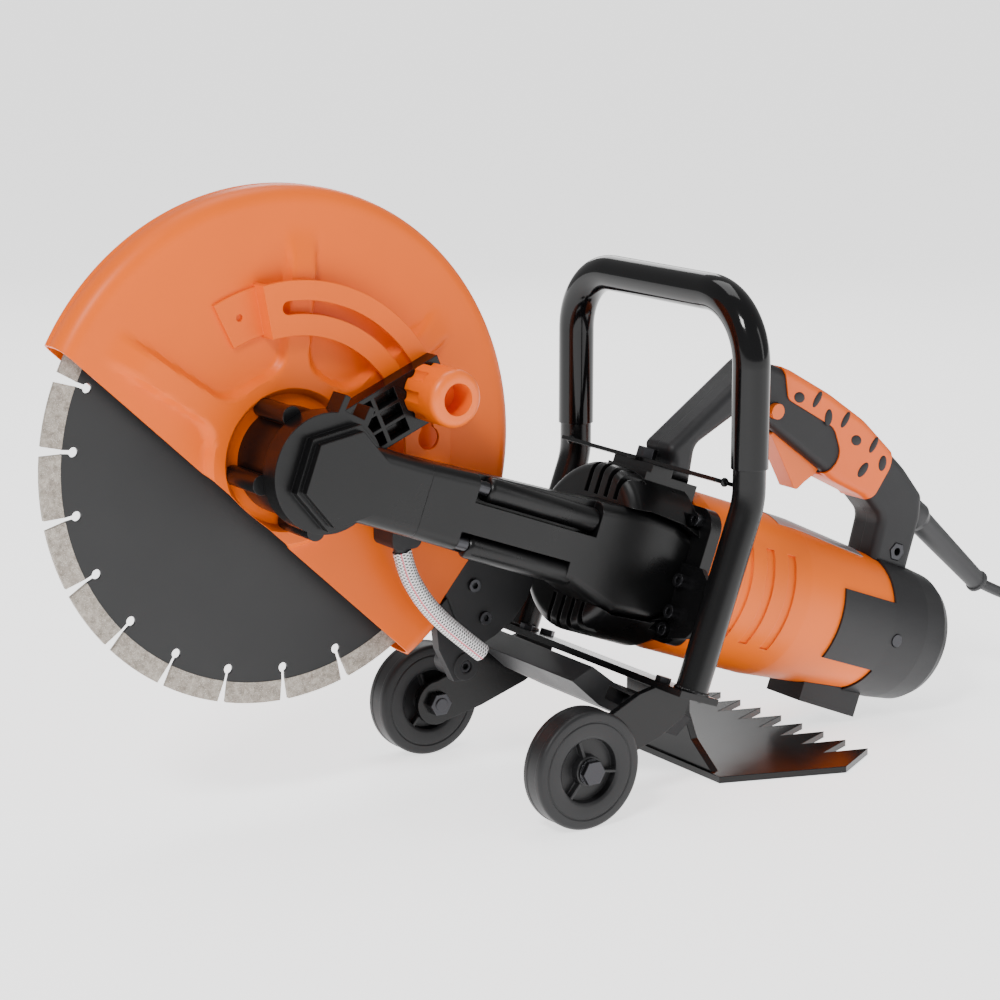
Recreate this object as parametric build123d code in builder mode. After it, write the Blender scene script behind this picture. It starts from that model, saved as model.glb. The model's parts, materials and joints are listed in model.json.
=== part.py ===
from build123d import *
import math
import os

# Electric concrete cut-off saw with a 355 mm diamond blade.
# Frame: X runs from the blade towards the rear handle, Y from the operator's left to the blade side,
# Z is up. The origin is on the floor below the middle of the machine. Millimetres and degrees.

os.makedirs("parts", exist_ok=True)

# ---- driving dimensions ----

# The blade spindle is the reference for the whole machine.
spindle_x = -196.32
spindle_y = 42.0
spindle_z = 260.0
# The belt arm and the motor lie on one axis that falls towards the rear.
body_tilt = 20.3

blade_radius = 177.5
segment_count = 22
segment_height = 15.0
segment_thickness = 3.2
core_thickness = 2.4
arbor_radius = 12.7
keyhole_radius_at = 153.8
keyhole_phase = 156.6

guard_radius = 189.0
guard_near_face = 26.0
guard_far_face = 58.0
guard_seam = 46.6
guard_sheet = 2.0
guard_chord_offset = 46.0
guard_chord_angle = 47.1
far_opening_radius = 48.0

slot_radius = 107.5
slot_width = 9.5
slot_start_angle = 3.0
slot_end_angle = 92.0
stud_angle = 22.9
stud_radius = 4.0
keyhole_opening_radius = 8.5
bracket_face = 11.0
bracket_sheet = 2.5

housing_radius = 38.0
arm_near_face = -49.0
arm_far_face = -3.0
arm_seam = 72.0
arm_half_height = 27.0

belt_far_face = -19.5
belt_width = 14.0
pulley_radius = 16.5
belt_thickness = 2.8
running_gap = 0.3
jackshaft_u = 277.0

gear_module = 1.4
gear_teeth = 34
pinion_teeth = 13
gear_face_width = 8.0

flange_front = 308.0
motor_front = 318.0
motor_rear = 522.0
cap_rear = 592.0
motor_radius_front = 62.5
motor_radius_rear = 55.0

leg_y = 108.0
tube_radius = 12.0
sleeve_radius = 13.5
handle_top_z = 103.5
leg_x = 303.0
leg_u = 299.0
handle_corner = 48.0

wheel_radius = 43.0
wheel_width = 21.5
wheel_inner_face = 94.0
wheel_x = 160.0
wheel_axle_bolt_radius = 5.0

cord_radius = 4.5

# ---- planes and small helpers ----

cos_tilt = math.cos(math.radians(body_tilt))
sin_tilt = math.sin(math.radians(body_tilt))
motor_direction = (cos_tilt, 0, -sin_tilt)

# Upright plane: local x is X and local y is Z, both from the spindle; the normal points to -Y.
upright = Plane(origin=(spindle_x, 0, spindle_z), x_dir=(1, 0, 0), z_dir=(0, -1, 0))
# Side plane: local x (u) runs along the motor axis from the spindle, local y (w) is across it.
side = Plane(origin=(spindle_x, 0, spindle_z), x_dir=motor_direction, z_dir=(0, -1, 0))


def upright_at(y):
    return upright.offset(-y)


def side_at(y):
    return side.offset(-y)


def axis_point(u, w=0.0, y=0.0):
    return (spindle_x + u * cos_tilt + w * sin_tilt, y, spindle_z - u * sin_tilt + w * cos_tilt)


def across(u):
    # Plane square to the motor axis: local x is Y and local y is w.
    return Plane(origin=axis_point(u), x_dir=(0, 1, 0), z_dir=motor_direction)


def from_spindle(x, y, z):
    return (spindle_x + x, y, spindle_z + z)


def polar(radius, angle):
    return (radius * math.cos(math.radians(angle)), radius * math.sin(math.radians(angle)))


def add_discs(plane_at, steps, centre=(0, 0), mode=Mode.ADD):
    # Each step is a disc from the far Y to the near Y with a radius.
    for far, near, radius in steps:
        with BuildSketch(plane_at(far)) as disc:
            with Locations(centre):
                Circle(radius)
        extrude(disc.sketch, amount=far - near, mode=mode)


def add_rounds(steps, mode=Mode.ADD):
    # Each step is a disc on the motor axis from one u to the next with a radius.
    for start, end, radius in steps:
        with BuildSketch(across(start)) as disc:
            Circle(radius)
        extrude(disc.sketch, amount=end - start, mode=mode)


motor_axis = Axis(axis_point(0), motor_direction)

# ---- blade and its spindle ----

core_radius = blade_radius - segment_height
core_far = spindle_y + core_thickness / 2
core_near = spindle_y - core_thickness / 2
slot_length = core_radius - keyhole_radius_at

with BuildPart() as blade_core:
    with BuildSketch(upright_at(core_far)):
        Circle(core_radius)
        Circle(arbor_radius, mode=Mode.SUBTRACT)
        with PolarLocations(keyhole_radius_at, segment_count, start_angle=keyhole_phase):
            Circle(3.5, mode=Mode.SUBTRACT)
        with PolarLocations(keyhole_radius_at + slot_length / 2, segment_count, start_angle=keyhole_phase):
            Rectangle(slot_length + 2, 3, mode=Mode.SUBTRACT)
    extrude(amount=core_thickness)
blade_core.part.label = "blade_core"
export_step(blade_core.part, "parts/blade_core.step")

with BuildPart() as blade_segments:
    with BuildSketch(upright_at(spindle_y + segment_thickness / 2)):
        Circle(blade_radius)
        Circle(core_radius, mode=Mode.SUBTRACT)
        with PolarLocations(0, segment_count, start_angle=keyhole_phase):
            Polygon(
                (core_radius - 1, -1.6), (blade_radius + 1, -3.6),
                (blade_radius + 1, 3.6), (core_radius - 1, 1.6),
                align=None, mode=Mode.SUBTRACT,
            )
    extrude(amount=segment_thickness)
blade_segments.part.label = "blade_segments"
export_step(blade_segments.part, "parts/blade_segments.step")

# Two steel flanges clamp the core: the near one on the spindle's shoulder, the far one under the bolt.
flange_radius = 32.0
flange_thickness = 6.8
near_flange_face = core_near - flange_thickness
far_flange_face = core_far + flange_thickness

with BuildPart() as blade_flanges:
    for far in (core_near, far_flange_face):
        with BuildSketch(upright_at(far)):
            Circle(flange_radius)
            Circle(arbor_radius, mode=Mode.SUBTRACT)
        extrude(amount=flange_thickness)
    outer_rims = blade_flanges.edges().filter_by(GeomType.CIRCLE).filter_by(lambda e: e.radius > 31)
    chamfer(outer_rims.sort_by(Axis.Y)[0], 1.5)
    chamfer(outer_rims.sort_by(Axis.Y)[-1], 1.5)
blade_flanges.part.label = "blade_flanges"
export_step(blade_flanges.part, "parts/blade_flanges.step")

bearing_shaft_radius = 10.0
bolt_bore_radius = 5.0
with BuildPart() as blade_spindle:
    add_discs(upright_at, [
        (far_flange_face, near_flange_face, arbor_radius - 0.05),
        (near_flange_face, 20.0, 15.0),
        (20.0, -35.5, bearing_shaft_radius),
    ])
    add_discs(upright_at, [(far_flange_face, far_flange_face - 28, bolt_bore_radius)], mode=Mode.SUBTRACT)
blade_spindle.part.label = "blade_spindle"
export_step(blade_spindle.part, "parts/blade_spindle.step")

with BuildPart() as arbor_bolt:
    with BuildSketch(upright_at(far_flange_face + 2.2)):
        Circle(13.0)
    extrude(amount=2.2)
    with BuildSketch(upright_at(far_flange_face + 8.5)):
        RegularPolygon(radius=8.5, side_count=6, major_radius=False)
    extrude(amount=6.3)
    with BuildSketch(upright_at(far_flange_face)):
        Circle(bolt_bore_radius)
    extrude(amount=24)
arbor_bolt.part.label = "arbor_bolt"
export_step(arbor_bolt.part, "parts/arbor_bolt.step")


# ---- toothed belt drive in the arm ----

pulley_teeth = 22


def add_pulley(centre, bore_radius):
    tooth_face = belt_far_face
    with BuildSketch(side_at(tooth_face)) as toothed:
        with Locations(centre):
            Circle(pulley_radius)
            with PolarLocations(pulley_radius, pulley_teeth):
                Rectangle(2.0, 2.2, mode=Mode.SUBTRACT)
    extrude(toothed.sketch, amount=belt_width)
    # side rims that keep the belt on
    add_discs(side_at, [
        (tooth_face + 1.0, tooth_face, pulley_radius + 1.6),
        (tooth_face - belt_width, tooth_face - belt_width - 1.0, pulley_radius + 1.6),
    ], centre)
    add_discs(side_at, [(tooth_face + 2, tooth_face - belt_width - 2, bore_radius)], centre, Mode.SUBTRACT)


with BuildPart() as driven_pulley:
    add_pulley((0, 0), bearing_shaft_radius)
driven_pulley.part.label = "driven_pulley"
export_step(driven_pulley.part, "parts/driven_pulley.step")

jackshaft_radius = 8.0
with BuildPart() as drive_pulley:
    add_pulley((jackshaft_u, 0), jackshaft_radius)
drive_pulley.part.label = "drive_pulley"
export_step(drive_pulley.part, "parts/drive_pulley.step")

belt_inner = pulley_radius + running_gap
with BuildPart() as drive_belt:
    with BuildSketch(side_at(belt_far_face - 0.5)):
        with Locations((jackshaft_u / 2, 0)):
            SlotCenterToCenter(jackshaft_u, 2 * (belt_inner + belt_thickness))
            SlotCenterToCenter(jackshaft_u, 2 * belt_inner, mode=Mode.SUBTRACT)
    extrude(amount=belt_width - 1)
drive_belt.part.label = "drive_belt"
export_step(drive_belt.part, "parts/drive_belt.step")

with BuildPart() as jackshaft:
    add_discs(side_at, [(36.0, -46.0, jackshaft_radius)], (jackshaft_u, 0))
jackshaft.part.label = "jackshaft"
export_step(jackshaft.part, "parts/jackshaft.step")

# ---- bevel gears, with their shared cone point where the jackshaft crosses the motor axis ----

gear_pitch_radius = gear_module * gear_teeth / 2
pinion_pitch_radius = gear_module * pinion_teeth / 2
cone_length = math.hypot(gear_pitch_radius, pinion_pitch_radius)
inner_scale = (cone_length - gear_face_width) / cone_length
addendum = 0.8 * gear_module
dedendum = 1.25 * gear_module
tooth_half = 0.19 * math.pi * gear_module
flank_slope = math.tan(math.radians(20))


def tooth_face_points(pitch_radius, mate_radius, scale):
    # A tooth's end face as (radial, tangential, axial) corners on the cone at the given scale.
    along = (pitch_radius / cone_length, mate_radius / cone_length)
    outward = (along[1], -along[0])
    corners = []
    for height, sign in ((addendum, 1), (addendum, -1), (-dedendum, -1), (-dedendum, 1)):
        half = (tooth_half - height * flank_slope) * scale
        radial = (cone_length * along[0] + height * outward[0]) * scale
        axial = (cone_length * along[1] + height * outward[1]) * scale
        corners.append((radial, sign * half, axial))
    return corners


def tooth(pitch_radius, mate_radius):
    faces = []
    for scale in (inner_scale, 1.0):
        corners = tooth_face_points(pitch_radius, mate_radius, scale)
        faces.append(Face(Wire.make_polygon([Vector(*corner) for corner in corners])))
    return Solid.make_loft([face.outer_wire() for face in faces], ruled=True)


def add_bevel_gear(pitch_radius, mate_radius, teeth, start_angle, hub_length):
    # Root cone with a hub behind it and straight tapered teeth on it.
    along = (pitch_radius / cone_length, mate_radius / cone_length)
    root_outer = (pitch_radius - dedendum * along[1] * 0.9, mate_radius + dedendum * along[0] * 0.9)
    root_inner = (root_outer[0] * inner_scale, root_outer[1] * inner_scale)
    with Locations((0, 0, root_inner[1])):
        Cone(root_inner[0], root_outer[0], root_outer[1] - root_inner[1],
             align=(Align.CENTER, Align.CENTER, Align.MIN))
    with Locations((0, 0, root_outer[1])):
        Cylinder(root_outer[0], hub_length, align=(Align.CENTER, Align.CENTER, Align.MIN))
    one_tooth = tooth(pitch_radius, mate_radius)
    with PolarLocations(0, teeth, start_angle=start_angle):
        add(one_tooth)


cone_point = axis_point(jackshaft_u)
gear_frame = Plane(origin=cone_point, x_dir=motor_direction, z_dir=(0, 1, 0))
pinion_frame = Plane(origin=cone_point, x_dir=(0, 1, 0), z_dir=motor_direction)

with BuildPart(gear_frame) as bevel_gear:
    add_bevel_gear(gear_pitch_radius, pinion_pitch_radius, gear_teeth, 180 / gear_teeth, 6.0)
    Cylinder(jackshaft_radius, 120, mode=Mode.SUBTRACT)
bevel_gear.part.label = "bevel_gear"
export_step(bevel_gear.part, "parts/bevel_gear.step")

armature_shaft_radius = 4.5
with BuildPart(pinion_frame) as bevel_pinion:
    add_bevel_gear(pinion_pitch_radius, gear_pitch_radius, pinion_teeth, 0, 4.5)
    Cylinder(armature_shaft_radius, 120, mode=Mode.SUBTRACT)
bevel_pinion.part.label = "bevel_pinion"
export_step(bevel_pinion.part, "parts/bevel_pinion.step")

# ---- motor's turning parts ----

with BuildPart() as armature_shaft:
    add_rounds([(jackshaft_u + 15, 307.5, armature_shaft_radius), (307.5, 500, 6.0)])
armature_shaft.part.label = "armature_shaft"
export_step(armature_shaft.part, "parts/armature_shaft.step")

with BuildPart() as rotor_core:
    with BuildSketch(across(352)):
        Circle(29.0)
        Circle(6.0, mode=Mode.SUBTRACT)
        with PolarLocations(26.5, 16):
            Rectangle(7, 2.4, mode=Mode.SUBTRACT)
    extrude(amount=52)
rotor_core.part.label = "rotor_core"
export_step(rotor_core.part, "parts/rotor_core.step")

with BuildPart() as commutator:
    with BuildSketch(across(440)):
        Circle(16.0)
        Circle(6.0, mode=Mode.SUBTRACT)
        with PolarLocations(15.5, 24):
            Rectangle(1.6, 0.8, mode=Mode.SUBTRACT)
    extrude(amount=22)
commutator.part.label = "commutator"
export_step(commutator.part, "parts/commutator.step")

fan_front = 328.0
with BuildPart() as cooling_fan:
    with BuildSketch(across(fan_front)):
        Circle(40.0)
        Circle(6.0, mode=Mode.SUBTRACT)
    extrude(amount=2)
    with BuildSketch(across(fan_front + 2)):
        Circle(12.0)
        Circle(6.0, mode=Mode.SUBTRACT)
        with PolarLocations(25.5, 12):
            Rectangle(28, 2, rotation=12)
    extrude(amount=11)
cooling_fan.part.label = "cooling_fan"
export_step(cooling_fan.part, "parts/cooling_fan.step")

# ---- bearings: two on the spindle, two on the jackshaft, two on the armature ----

spindle_bearing_radius = 21.0
spindle_bearing_faces = ((18.0, 6.0), (-5.0, -17.0))
jackshaft_bearing_radius = 16.0
jackshaft_bearing_faces = ((34.0, 25.0), (-39.5, -45.0))
motor_bearing_radius = 16.0
motor_bearing_faces = ((308.0, 317.0), (480.0, 490.0))

with BuildPart() as ball_bearings:
    for far, near in spindle_bearing_faces:
        with BuildSketch(upright_at(far)):
            Circle(spindle_bearing_radius)
            Circle(bearing_shaft_radius + 0.05, mode=Mode.SUBTRACT)
        extrude(amount=far - near)
    for far, near in jackshaft_bearing_faces:
        with BuildSketch(side_at(far)):
            with Locations((jackshaft_u, 0)):
                Circle(jackshaft_bearing_radius)
                Circle(jackshaft_radius + 0.05, mode=Mode.SUBTRACT)
        extrude(amount=far - near)
    for start, end in motor_bearing_faces:
        with BuildSketch(across(start)):
            Circle(motor_bearing_radius)
            Circle(6.05, mode=Mode.SUBTRACT)
        extrude(amount=end - start)
ball_bearings.part.label = "ball_bearings"
export_step(ball_bearings.part, "parts/ball_bearings.step")

# ---- spindle housing and belt arm castings ----

collar_radius = 30.0
housing_far = guard_near_face - running_gap
retainer_far = guard_near_face + guard_sheet + running_gap + 3.0
housing_near = -18.0
boss_angles = (116, 188, 268)

with BuildPart() as spindle_housing:
    add_discs(upright_at, [
        (housing_far, housing_near, housing_radius),
        (retainer_far - 3.0, housing_far, collar_radius),
    ])
    # screw bosses run along the barrel
    with BuildSketch(upright_at(housing_far - 2)):
        for angle in boss_angles:
            with Locations(polar(43.0, angle)):
                Circle(7.0)
    extrude(amount=housing_far - 2 - housing_near)
    with BuildSketch(upright_at(housing_far - 2)):
        for angle in boss_angles:
            with Locations(polar(38.5, angle)):
                Rectangle(10, 9, rotation=angle)
    extrude(amount=housing_far - 2 - housing_near)
    add_discs(upright_at, [
        (18.0, housing_near, spindle_bearing_radius),
        (retainer_far, 18.0, 17.0),
    ], mode=Mode.SUBTRACT)
spindle_housing.part.label = "spindle_housing"
export_step(spindle_housing.part, "parts/spindle_housing.step")

with BuildPart() as guard_retainer:
    with BuildSketch(upright_at(retainer_far)):
        Circle(36.5)
        Circle(17.0, mode=Mode.SUBTRACT)
        with PolarLocations(24.0, 4, start_angle=45):
            Circle(2.1, mode=Mode.SUBTRACT)
    extrude(amount=3.0)
guard_retainer.part.label = "guard_retainer"
export_step(guard_retainer.part, "parts/guard_retainer.step")

cover_radius = 42.0
cover_near = -35.0
hex_centre = (8, 0)
cavity_half = 22.4
cavity_near = -36.0
pulley_room = 24.0
belt_room_far = -15.0
belt_room_near = -33.8
trough_floor = -36.5

with BuildPart() as arm_front_case:
    # the straight shank of the arm
    with BuildSketch(side_at(arm_far_face)):
        with Locations((arm_seam / 2, 0)):
            Rectangle(arm_seam, 2 * arm_half_height)
    extrude(amount=arm_far_face - arm_near_face)
    shank_edges = arm_front_case.edges().filter_by(Axis(axis_point(0), motor_direction))
    fillet(shank_edges, 9)
    # it gives way to the spindle housing
    add_discs(upright_at, [(arm_far_face + 1, housing_near, housing_radius + 0.3)], mode=Mode.SUBTRACT)
    with BuildSketch(side_at(arm_far_face + 1)):
        Rectangle(60, 60)
    extrude(amount=arm_far_face + 1 - housing_near, mode=Mode.SUBTRACT)
    # round cover over the housing's end, then the stepped six-sided boss
    add_discs(upright_at, [(housing_near, cover_near, cover_radius)])
    with BuildSketch(side_at(cover_near)):
        with Locations(hex_centre):
            RegularPolygon(radius=38, side_count=6, rotation=30)
    extrude(amount=8)
    with BuildSketch(side_at(cover_near - 8)):
        with Locations(hex_centre):
            RegularPolygon(radius=34, side_count=6, rotation=30)
    extrude(amount=6)
    # slotted lug on the rim, behind which the lock bar is held
    with BuildSketch(upright_at(housing_near)):
        with Locations(polar(45.0, 62)):
            Rectangle(16, 26, rotation=62)
        with Locations(polar(49.0, 62)):
            Rectangle(12, 17, rotation=62, mode=Mode.SUBTRACT)
    extrude(amount=housing_near - cover_near)
    # room for the belt and its pulley
    add_discs(side_at, [(housing_near, cavity_near, pulley_room)], mode=Mode.SUBTRACT)
    with BuildSketch(side_at(belt_room_far)):
        with Locations((arm_seam / 2 + 2, 0)):
            Rectangle(arm_seam + 6, 2 * cavity_half)
    extrude(amount=belt_room_far - cavity_near, mode=Mode.SUBTRACT)
arm_front_case.part.label = "arm_front_case"
export_step(arm_front_case.part, "parts/arm_front_case.step")

arm_outline = [
    (arm_seam, arm_half_height), (210, 33), (262, 38), (292, 36), (flange_front, 30),
    (flange_front, -31), (292, -40), (256, -42), (213, -30), (arm_seam, -arm_half_height),
]
with BuildPart() as arm_rear_case:
    with BuildSketch(side_at(arm_far_face)):
        Polygon(*arm_outline, align=None)
    extrude(amount=arm_far_face - arm_near_face)
    near_rim = arm_rear_case.faces().sort_by(Axis.Y)[0].edges()
    long_rim = near_rim.filter_by(lambda e: abs(e.tangent_at(0.5).dot(Vector(*motor_direction))) > 0.7)
    fillet(long_rim, 9)
    # troughs that leave the two long screws open, above and below
    for low, high, start, end in ((9.0, 40.0, 112, 222), (-40.0, -13.0, 108, 206)):
        with BuildSketch(side_at(trough_floor)):
            with Locations(((start + end) / 2, (low + high) / 2)):
                Rectangle(end - start, high - low)
        extrude(amount=trough_floor - arm_near_face + 1, mode=Mode.SUBTRACT)
    # belt room, and the wider room round the jackshaft
    with BuildSketch(side_at(belt_room_far)):
        with Locations(((arm_seam + jackshaft_u) / 2, 0)):
            Rectangle(jackshaft_u - arm_seam + 2, 2 * (cavity_half - 1.6))
    extrude(amount=belt_room_far - belt_room_near, mode=Mode.SUBTRACT)
    add_discs(side_at, [
        (arm_far_face, -39.5, pulley_room),
        (-39.5, -46.0, jackshaft_bearing_radius),
    ], (jackshaft_u, 0), Mode.SUBTRACT)
    with BuildSketch(side_at(arm_far_face)):
        with Locations((jackshaft_u + 35, 0)):
            Rectangle(70, 64)
    extrude(amount=36, mode=Mode.SUBTRACT)
arm_rear_case.part.label = "arm_rear_case"
export_step(arm_rear_case.part, "parts/arm_rear_case.step")

# ---- gear housing ----

housing_front = 244.0
housing_disc_radius = 64.0
block_top = 66.0
pad_top = 72.0
pad_u = 282.0
bearing_wall_y = 24.0
exhaust_slots = (-28, -16, -4, 8)
flange_screws = ((52, 42), (52, -42), (-52, 42), (-52, -42), (-59, -4), (-59, -28), (59, -4), (59, -28))
flange_screw_radius = 2.5
bracket_plate = 4.0

with BuildPart() as gear_housing:
    add_rounds([(housing_front, flange_front, housing_disc_radius)])
    front_rim = gear_housing.edges().filter_by(GeomType.CIRCLE).sort_by(Axis.X)[0]
    fillet(front_rim, 9)
    # block on top that carries the strap and the front of the rear handle
    with BuildSketch(side_at(24)):
        with Locations((293, 56)):
            Rectangle(50, 2 * (block_top - 56))
        with Locations((pad_u, pad_top - 5)):
            Rectangle(20, 10)
    extrude(amount=48)
    # square flange that meets the motor
    with BuildSketch(across(flange_front)):
        RectangleRounded(132, 104, 16)
        with Locations(*flange_screws):
            Circle(flange_screw_radius + 0.1, mode=Mode.SUBTRACT)
    extrude(amount=motor_front - flange_front)
    # the arm casting takes the near half, down to the flange
    with BuildSketch(side_at(arm_far_face)):
        Polygon(*arm_outline[1:-1], align=None)
    extrude(amount=70, mode=Mode.SUBTRACT)
    # room for the bevel gears, and the bores for the bearings
    with BuildSketch(across(housing_front + 6)):
        Circle(53.0)
        with Locations((bearing_wall_y + 40, 0)):
            Rectangle(80, 120, mode=Mode.SUBTRACT)
    extrude(amount=flange_front - housing_front - 7, mode=Mode.SUBTRACT)
    add_rounds([(flange_front - 1, motor_front, motor_bearing_radius)], Mode.SUBTRACT)
    add_discs(side_at, [
        (36.5, bearing_wall_y, jackshaft_bearing_radius),
    ], (jackshaft_u, 0), Mode.SUBTRACT)
    # exhaust slots over and under the front shoulder
    for turn in (1, -1):
        with BuildSketch(across(housing_front - 2)):
            for y in exhaust_slots:
                with Locations((y, turn * 54)):
                    Rectangle(5, 30)
        extrude(amount=24, mode=Mode.SUBTRACT)
    # flat seats for the side brackets and for the screw heads beside them
    for turn in (1, -1):
        with BuildSketch(across(flange_front - bracket_plate - 9)):
            with Locations((turn * 74, -20)):
                Rectangle(50, 66)
            with Locations((turn * 52, 42), (turn * 52, -42)):
                Circle(7.0)
        extrude(amount=bracket_plate + 9, mode=Mode.SUBTRACT)
gear_housing.part.label = "gear_housing"
export_step(gear_housing.part, "parts/gear_housing.step")


# ---- motor housing, field and brushes ----

housing_wall = 3.0
land_radius = 50.0
stator_faces = (346.0, 408.0)

with BuildPart() as motor_housing:
    with BuildSketch(side) as section:
        Polygon(
            (motor_front, 17), (motor_front + 4, 17), (motor_front + 4, motor_radius_front - housing_wall),
            (348, motor_radius_front - housing_wall), (348, land_radius), (354, land_radius),
            (354, motor_radius_front - housing_wall), (400, motor_radius_front - housing_wall),
            (400, land_radius), (406, land_radius), (406, motor_radius_front - housing_wall),
            (430, motor_radius_front - housing_wall), (478, motor_radius_rear - housing_wall + 4),
            (478, motor_bearing_radius), (492, motor_bearing_radius),
            (492, motor_radius_rear - housing_wall + 2), (motor_rear, motor_radius_rear - housing_wall),
            (motor_rear, motor_radius_rear), (425, motor_radius_front),
            (motor_front + 10, motor_radius_front), (motor_front, motor_radius_front - 3), align=None,
        )
    revolve(axis=motor_axis)
    # three cooling louvres on each side, each a groove part of the way round
    for u in (356, 378, 400):
        with BuildSketch(across(u)):
            Circle(motor_radius_front + 4)
            Circle(motor_radius_front - 1.6, mode=Mode.SUBTRACT)
            with Locations((0, 62), (0, -62)):
                Rectangle(140, 50, mode=Mode.SUBTRACT)
        extrude(amount=8, mode=Mode.SUBTRACT)
motor_housing.part.label = "motor_housing"
export_step(motor_housing.part, "parts/motor_housing.step")

with BuildPart() as stator:
    with BuildSketch(across(stator_faces[0])):
        Circle(land_radius)
        Circle(29.6, mode=Mode.SUBTRACT)
        with PolarLocations(40, 2, start_angle=0):
            Rectangle(9, 34, mode=Mode.SUBTRACT)
    extrude(amount=stator_faces[1] - stator_faces[0])
stator.part.label = "stator"
export_step(stator.part, "parts/stator.step")

with BuildPart() as carbon_brushes:
    for turn in (1, -1):
        with BuildSketch(across(446)):
            with Locations((0, turn * 24.2)):
                Rectangle(7, 16)
        extrude(amount=10)
carbon_brushes.part.label = "carbon_brushes"
export_step(carbon_brushes.part, "parts/carbon_brushes.step")


def motor_radius_at(u):
    share = (u - 425) / (motor_rear - 425)
    return motor_radius_front + share * (motor_radius_rear - motor_radius_front)


panel_front = 463.0
panel_rise = 1.8
cap_screw_place = (529, -3)
cap_screw_seat = 54.2
with BuildPart() as rear_cap:
    # side panels that reach forward over the housing
    with BuildSketch(side):
        Polygon(
            (panel_front, motor_radius_at(panel_front)), (motor_rear, motor_radius_rear),
            (motor_rear, motor_radius_rear + panel_rise),
            (panel_front, motor_radius_at(panel_front) + panel_rise), align=None,
        )
    revolve(axis=motor_axis)
    with BuildSketch(side_at(80)):
        with Locations(((panel_front + motor_rear) / 2, -3)):
            Rectangle(80, 56)
    extrude(amount=160, mode=Mode.INTERSECT)
    # the cap itself
    with BuildSketch(side):
        Polygon(
            (motor_rear, motor_radius_rear - 3), (motor_rear, motor_radius_rear + panel_rise),
            (560, motor_radius_rear), (582, 52.5), (589, 49), (cap_rear, 43), (cap_rear, 0),
            (cap_rear - 3, 0), (cap_rear - 3, 41), (580, 49), (560, 51.5), align=None,
        )
    revolve(axis=motor_axis)
    # counterbores for the two side screws
    counterbores = [(-cap_screw_seat, -70, 5.3), (70, cap_screw_seat, 5.3)]
    add_discs(side_at, counterbores, cap_screw_place, Mode.SUBTRACT)
    # air intake slots in the end
    with BuildSketch(across(cap_rear - 6)):
        for w in (-24, -16, -8, 0, 8, 16, 24):
            with Locations((0, w)):
                Rectangle(52, 3.5)
    extrude(amount=10, mode=Mode.SUBTRACT)
rear_cap.part.label = "rear_cap"
export_step(rear_cap.part, "parts/rear_cap.step")

with BuildPart() as motor_foot:
    with BuildSketch(side_at(20)):
        Polygon((482, -70), (543, -72), (543, -50), (482, -50), align=None)
    extrude(amount=40)
    add(motor_housing.part, mode=Mode.SUBTRACT)
    add(rear_cap.part, mode=Mode.SUBTRACT)
    with BuildSketch(across(470)):
        Circle(motor_radius_rear - 1)
    extrude(amount=90, mode=Mode.SUBTRACT)
motor_foot.part.label = "motor_foot"
export_step(motor_foot.part, "parts/motor_foot.step")


# ---- blade guard: two pressed shells, closed over the top and open below the chord ----

# the shells' rear corner ends along this outline, where the splash deflector takes over
rear_edge = [
    (151, -91), (130, -116), (121, -127), (125, -155), (100, -168), (150, -230), (260, -150), (240, -80),
]
chord_normal = polar(1.0, guard_chord_angle)


def guard_blank(radius, chord_offset):
    # Disc of the given radius without what lies below the chord, on the upright plane.
    with BuildSketch(upright) as blank:
        Circle(radius)
        drop = chord_offset + 150
        with Locations((-drop * chord_normal[0], -drop * chord_normal[1])):
            Rectangle(300, 600, rotation=guard_chord_angle, mode=Mode.SUBTRACT)
    return blank.sketch


def moved_to_y(sketch, y):
    return sketch.moved(Location((0, y, 0)))


def add_guard_shell(far, near, face_far, face_near, opening):
    outer = guard_blank(guard_radius, guard_chord_offset)
    inner = guard_blank(guard_radius - guard_sheet, guard_chord_offset + 5)
    extrude(moved_to_y(outer, far), amount=far - near, dir=(0, -1, 0))
    extrude(moved_to_y(inner, face_far), amount=face_far - face_near, dir=(0, -1, 0), mode=Mode.SUBTRACT)
    add_discs(upright_at, [(far + 1, near - 1, opening)], mode=Mode.SUBTRACT)
    with BuildSketch(upright_at(far + 1)) as corner:
        Polygon(*rear_edge, align=None)
    extrude(corner.sketch, amount=far - near + 2, mode=Mode.SUBTRACT)


with BuildPart() as guard_near_shell:
    inside_near = guard_near_face + guard_sheet
    add_guard_shell(guard_seam, guard_near_face, guard_seam + 1, inside_near, collar_radius + running_gap)
guard_near_shell.part.label = "guard_near_shell"
export_step(guard_near_shell.part, "parts/guard_near_shell.step")

with BuildPart() as guard_far_shell:
    inside_far = guard_far_face - guard_sheet
    add_guard_shell(guard_far_face, guard_seam, inside_far, guard_seam - 1, far_opening_radius)
guard_far_shell.part.label = "guard_far_shell"
export_step(guard_far_shell.part, "parts/guard_far_shell.step")

# Raised bracket with the curved slot that the lock stud runs in.
bracket_inner = 88.0
bracket_outer = 126.0
bracket_far = bracket_face + bracket_sheet
bracket_start = -6.0
bracket_end = 99.0


def ring_sector(plane, inner, outer, start, end):
    with BuildSketch(plane) as sector:
        with BuildLine():
            first = CenterArc((0, 0), outer, start, end - start)
            last = CenterArc((0, 0), inner, start, end - start)
            Line(first @ 0, last @ 0)
            Line(first @ 1, last @ 1)
        make_face()
    return sector.sketch


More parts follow.
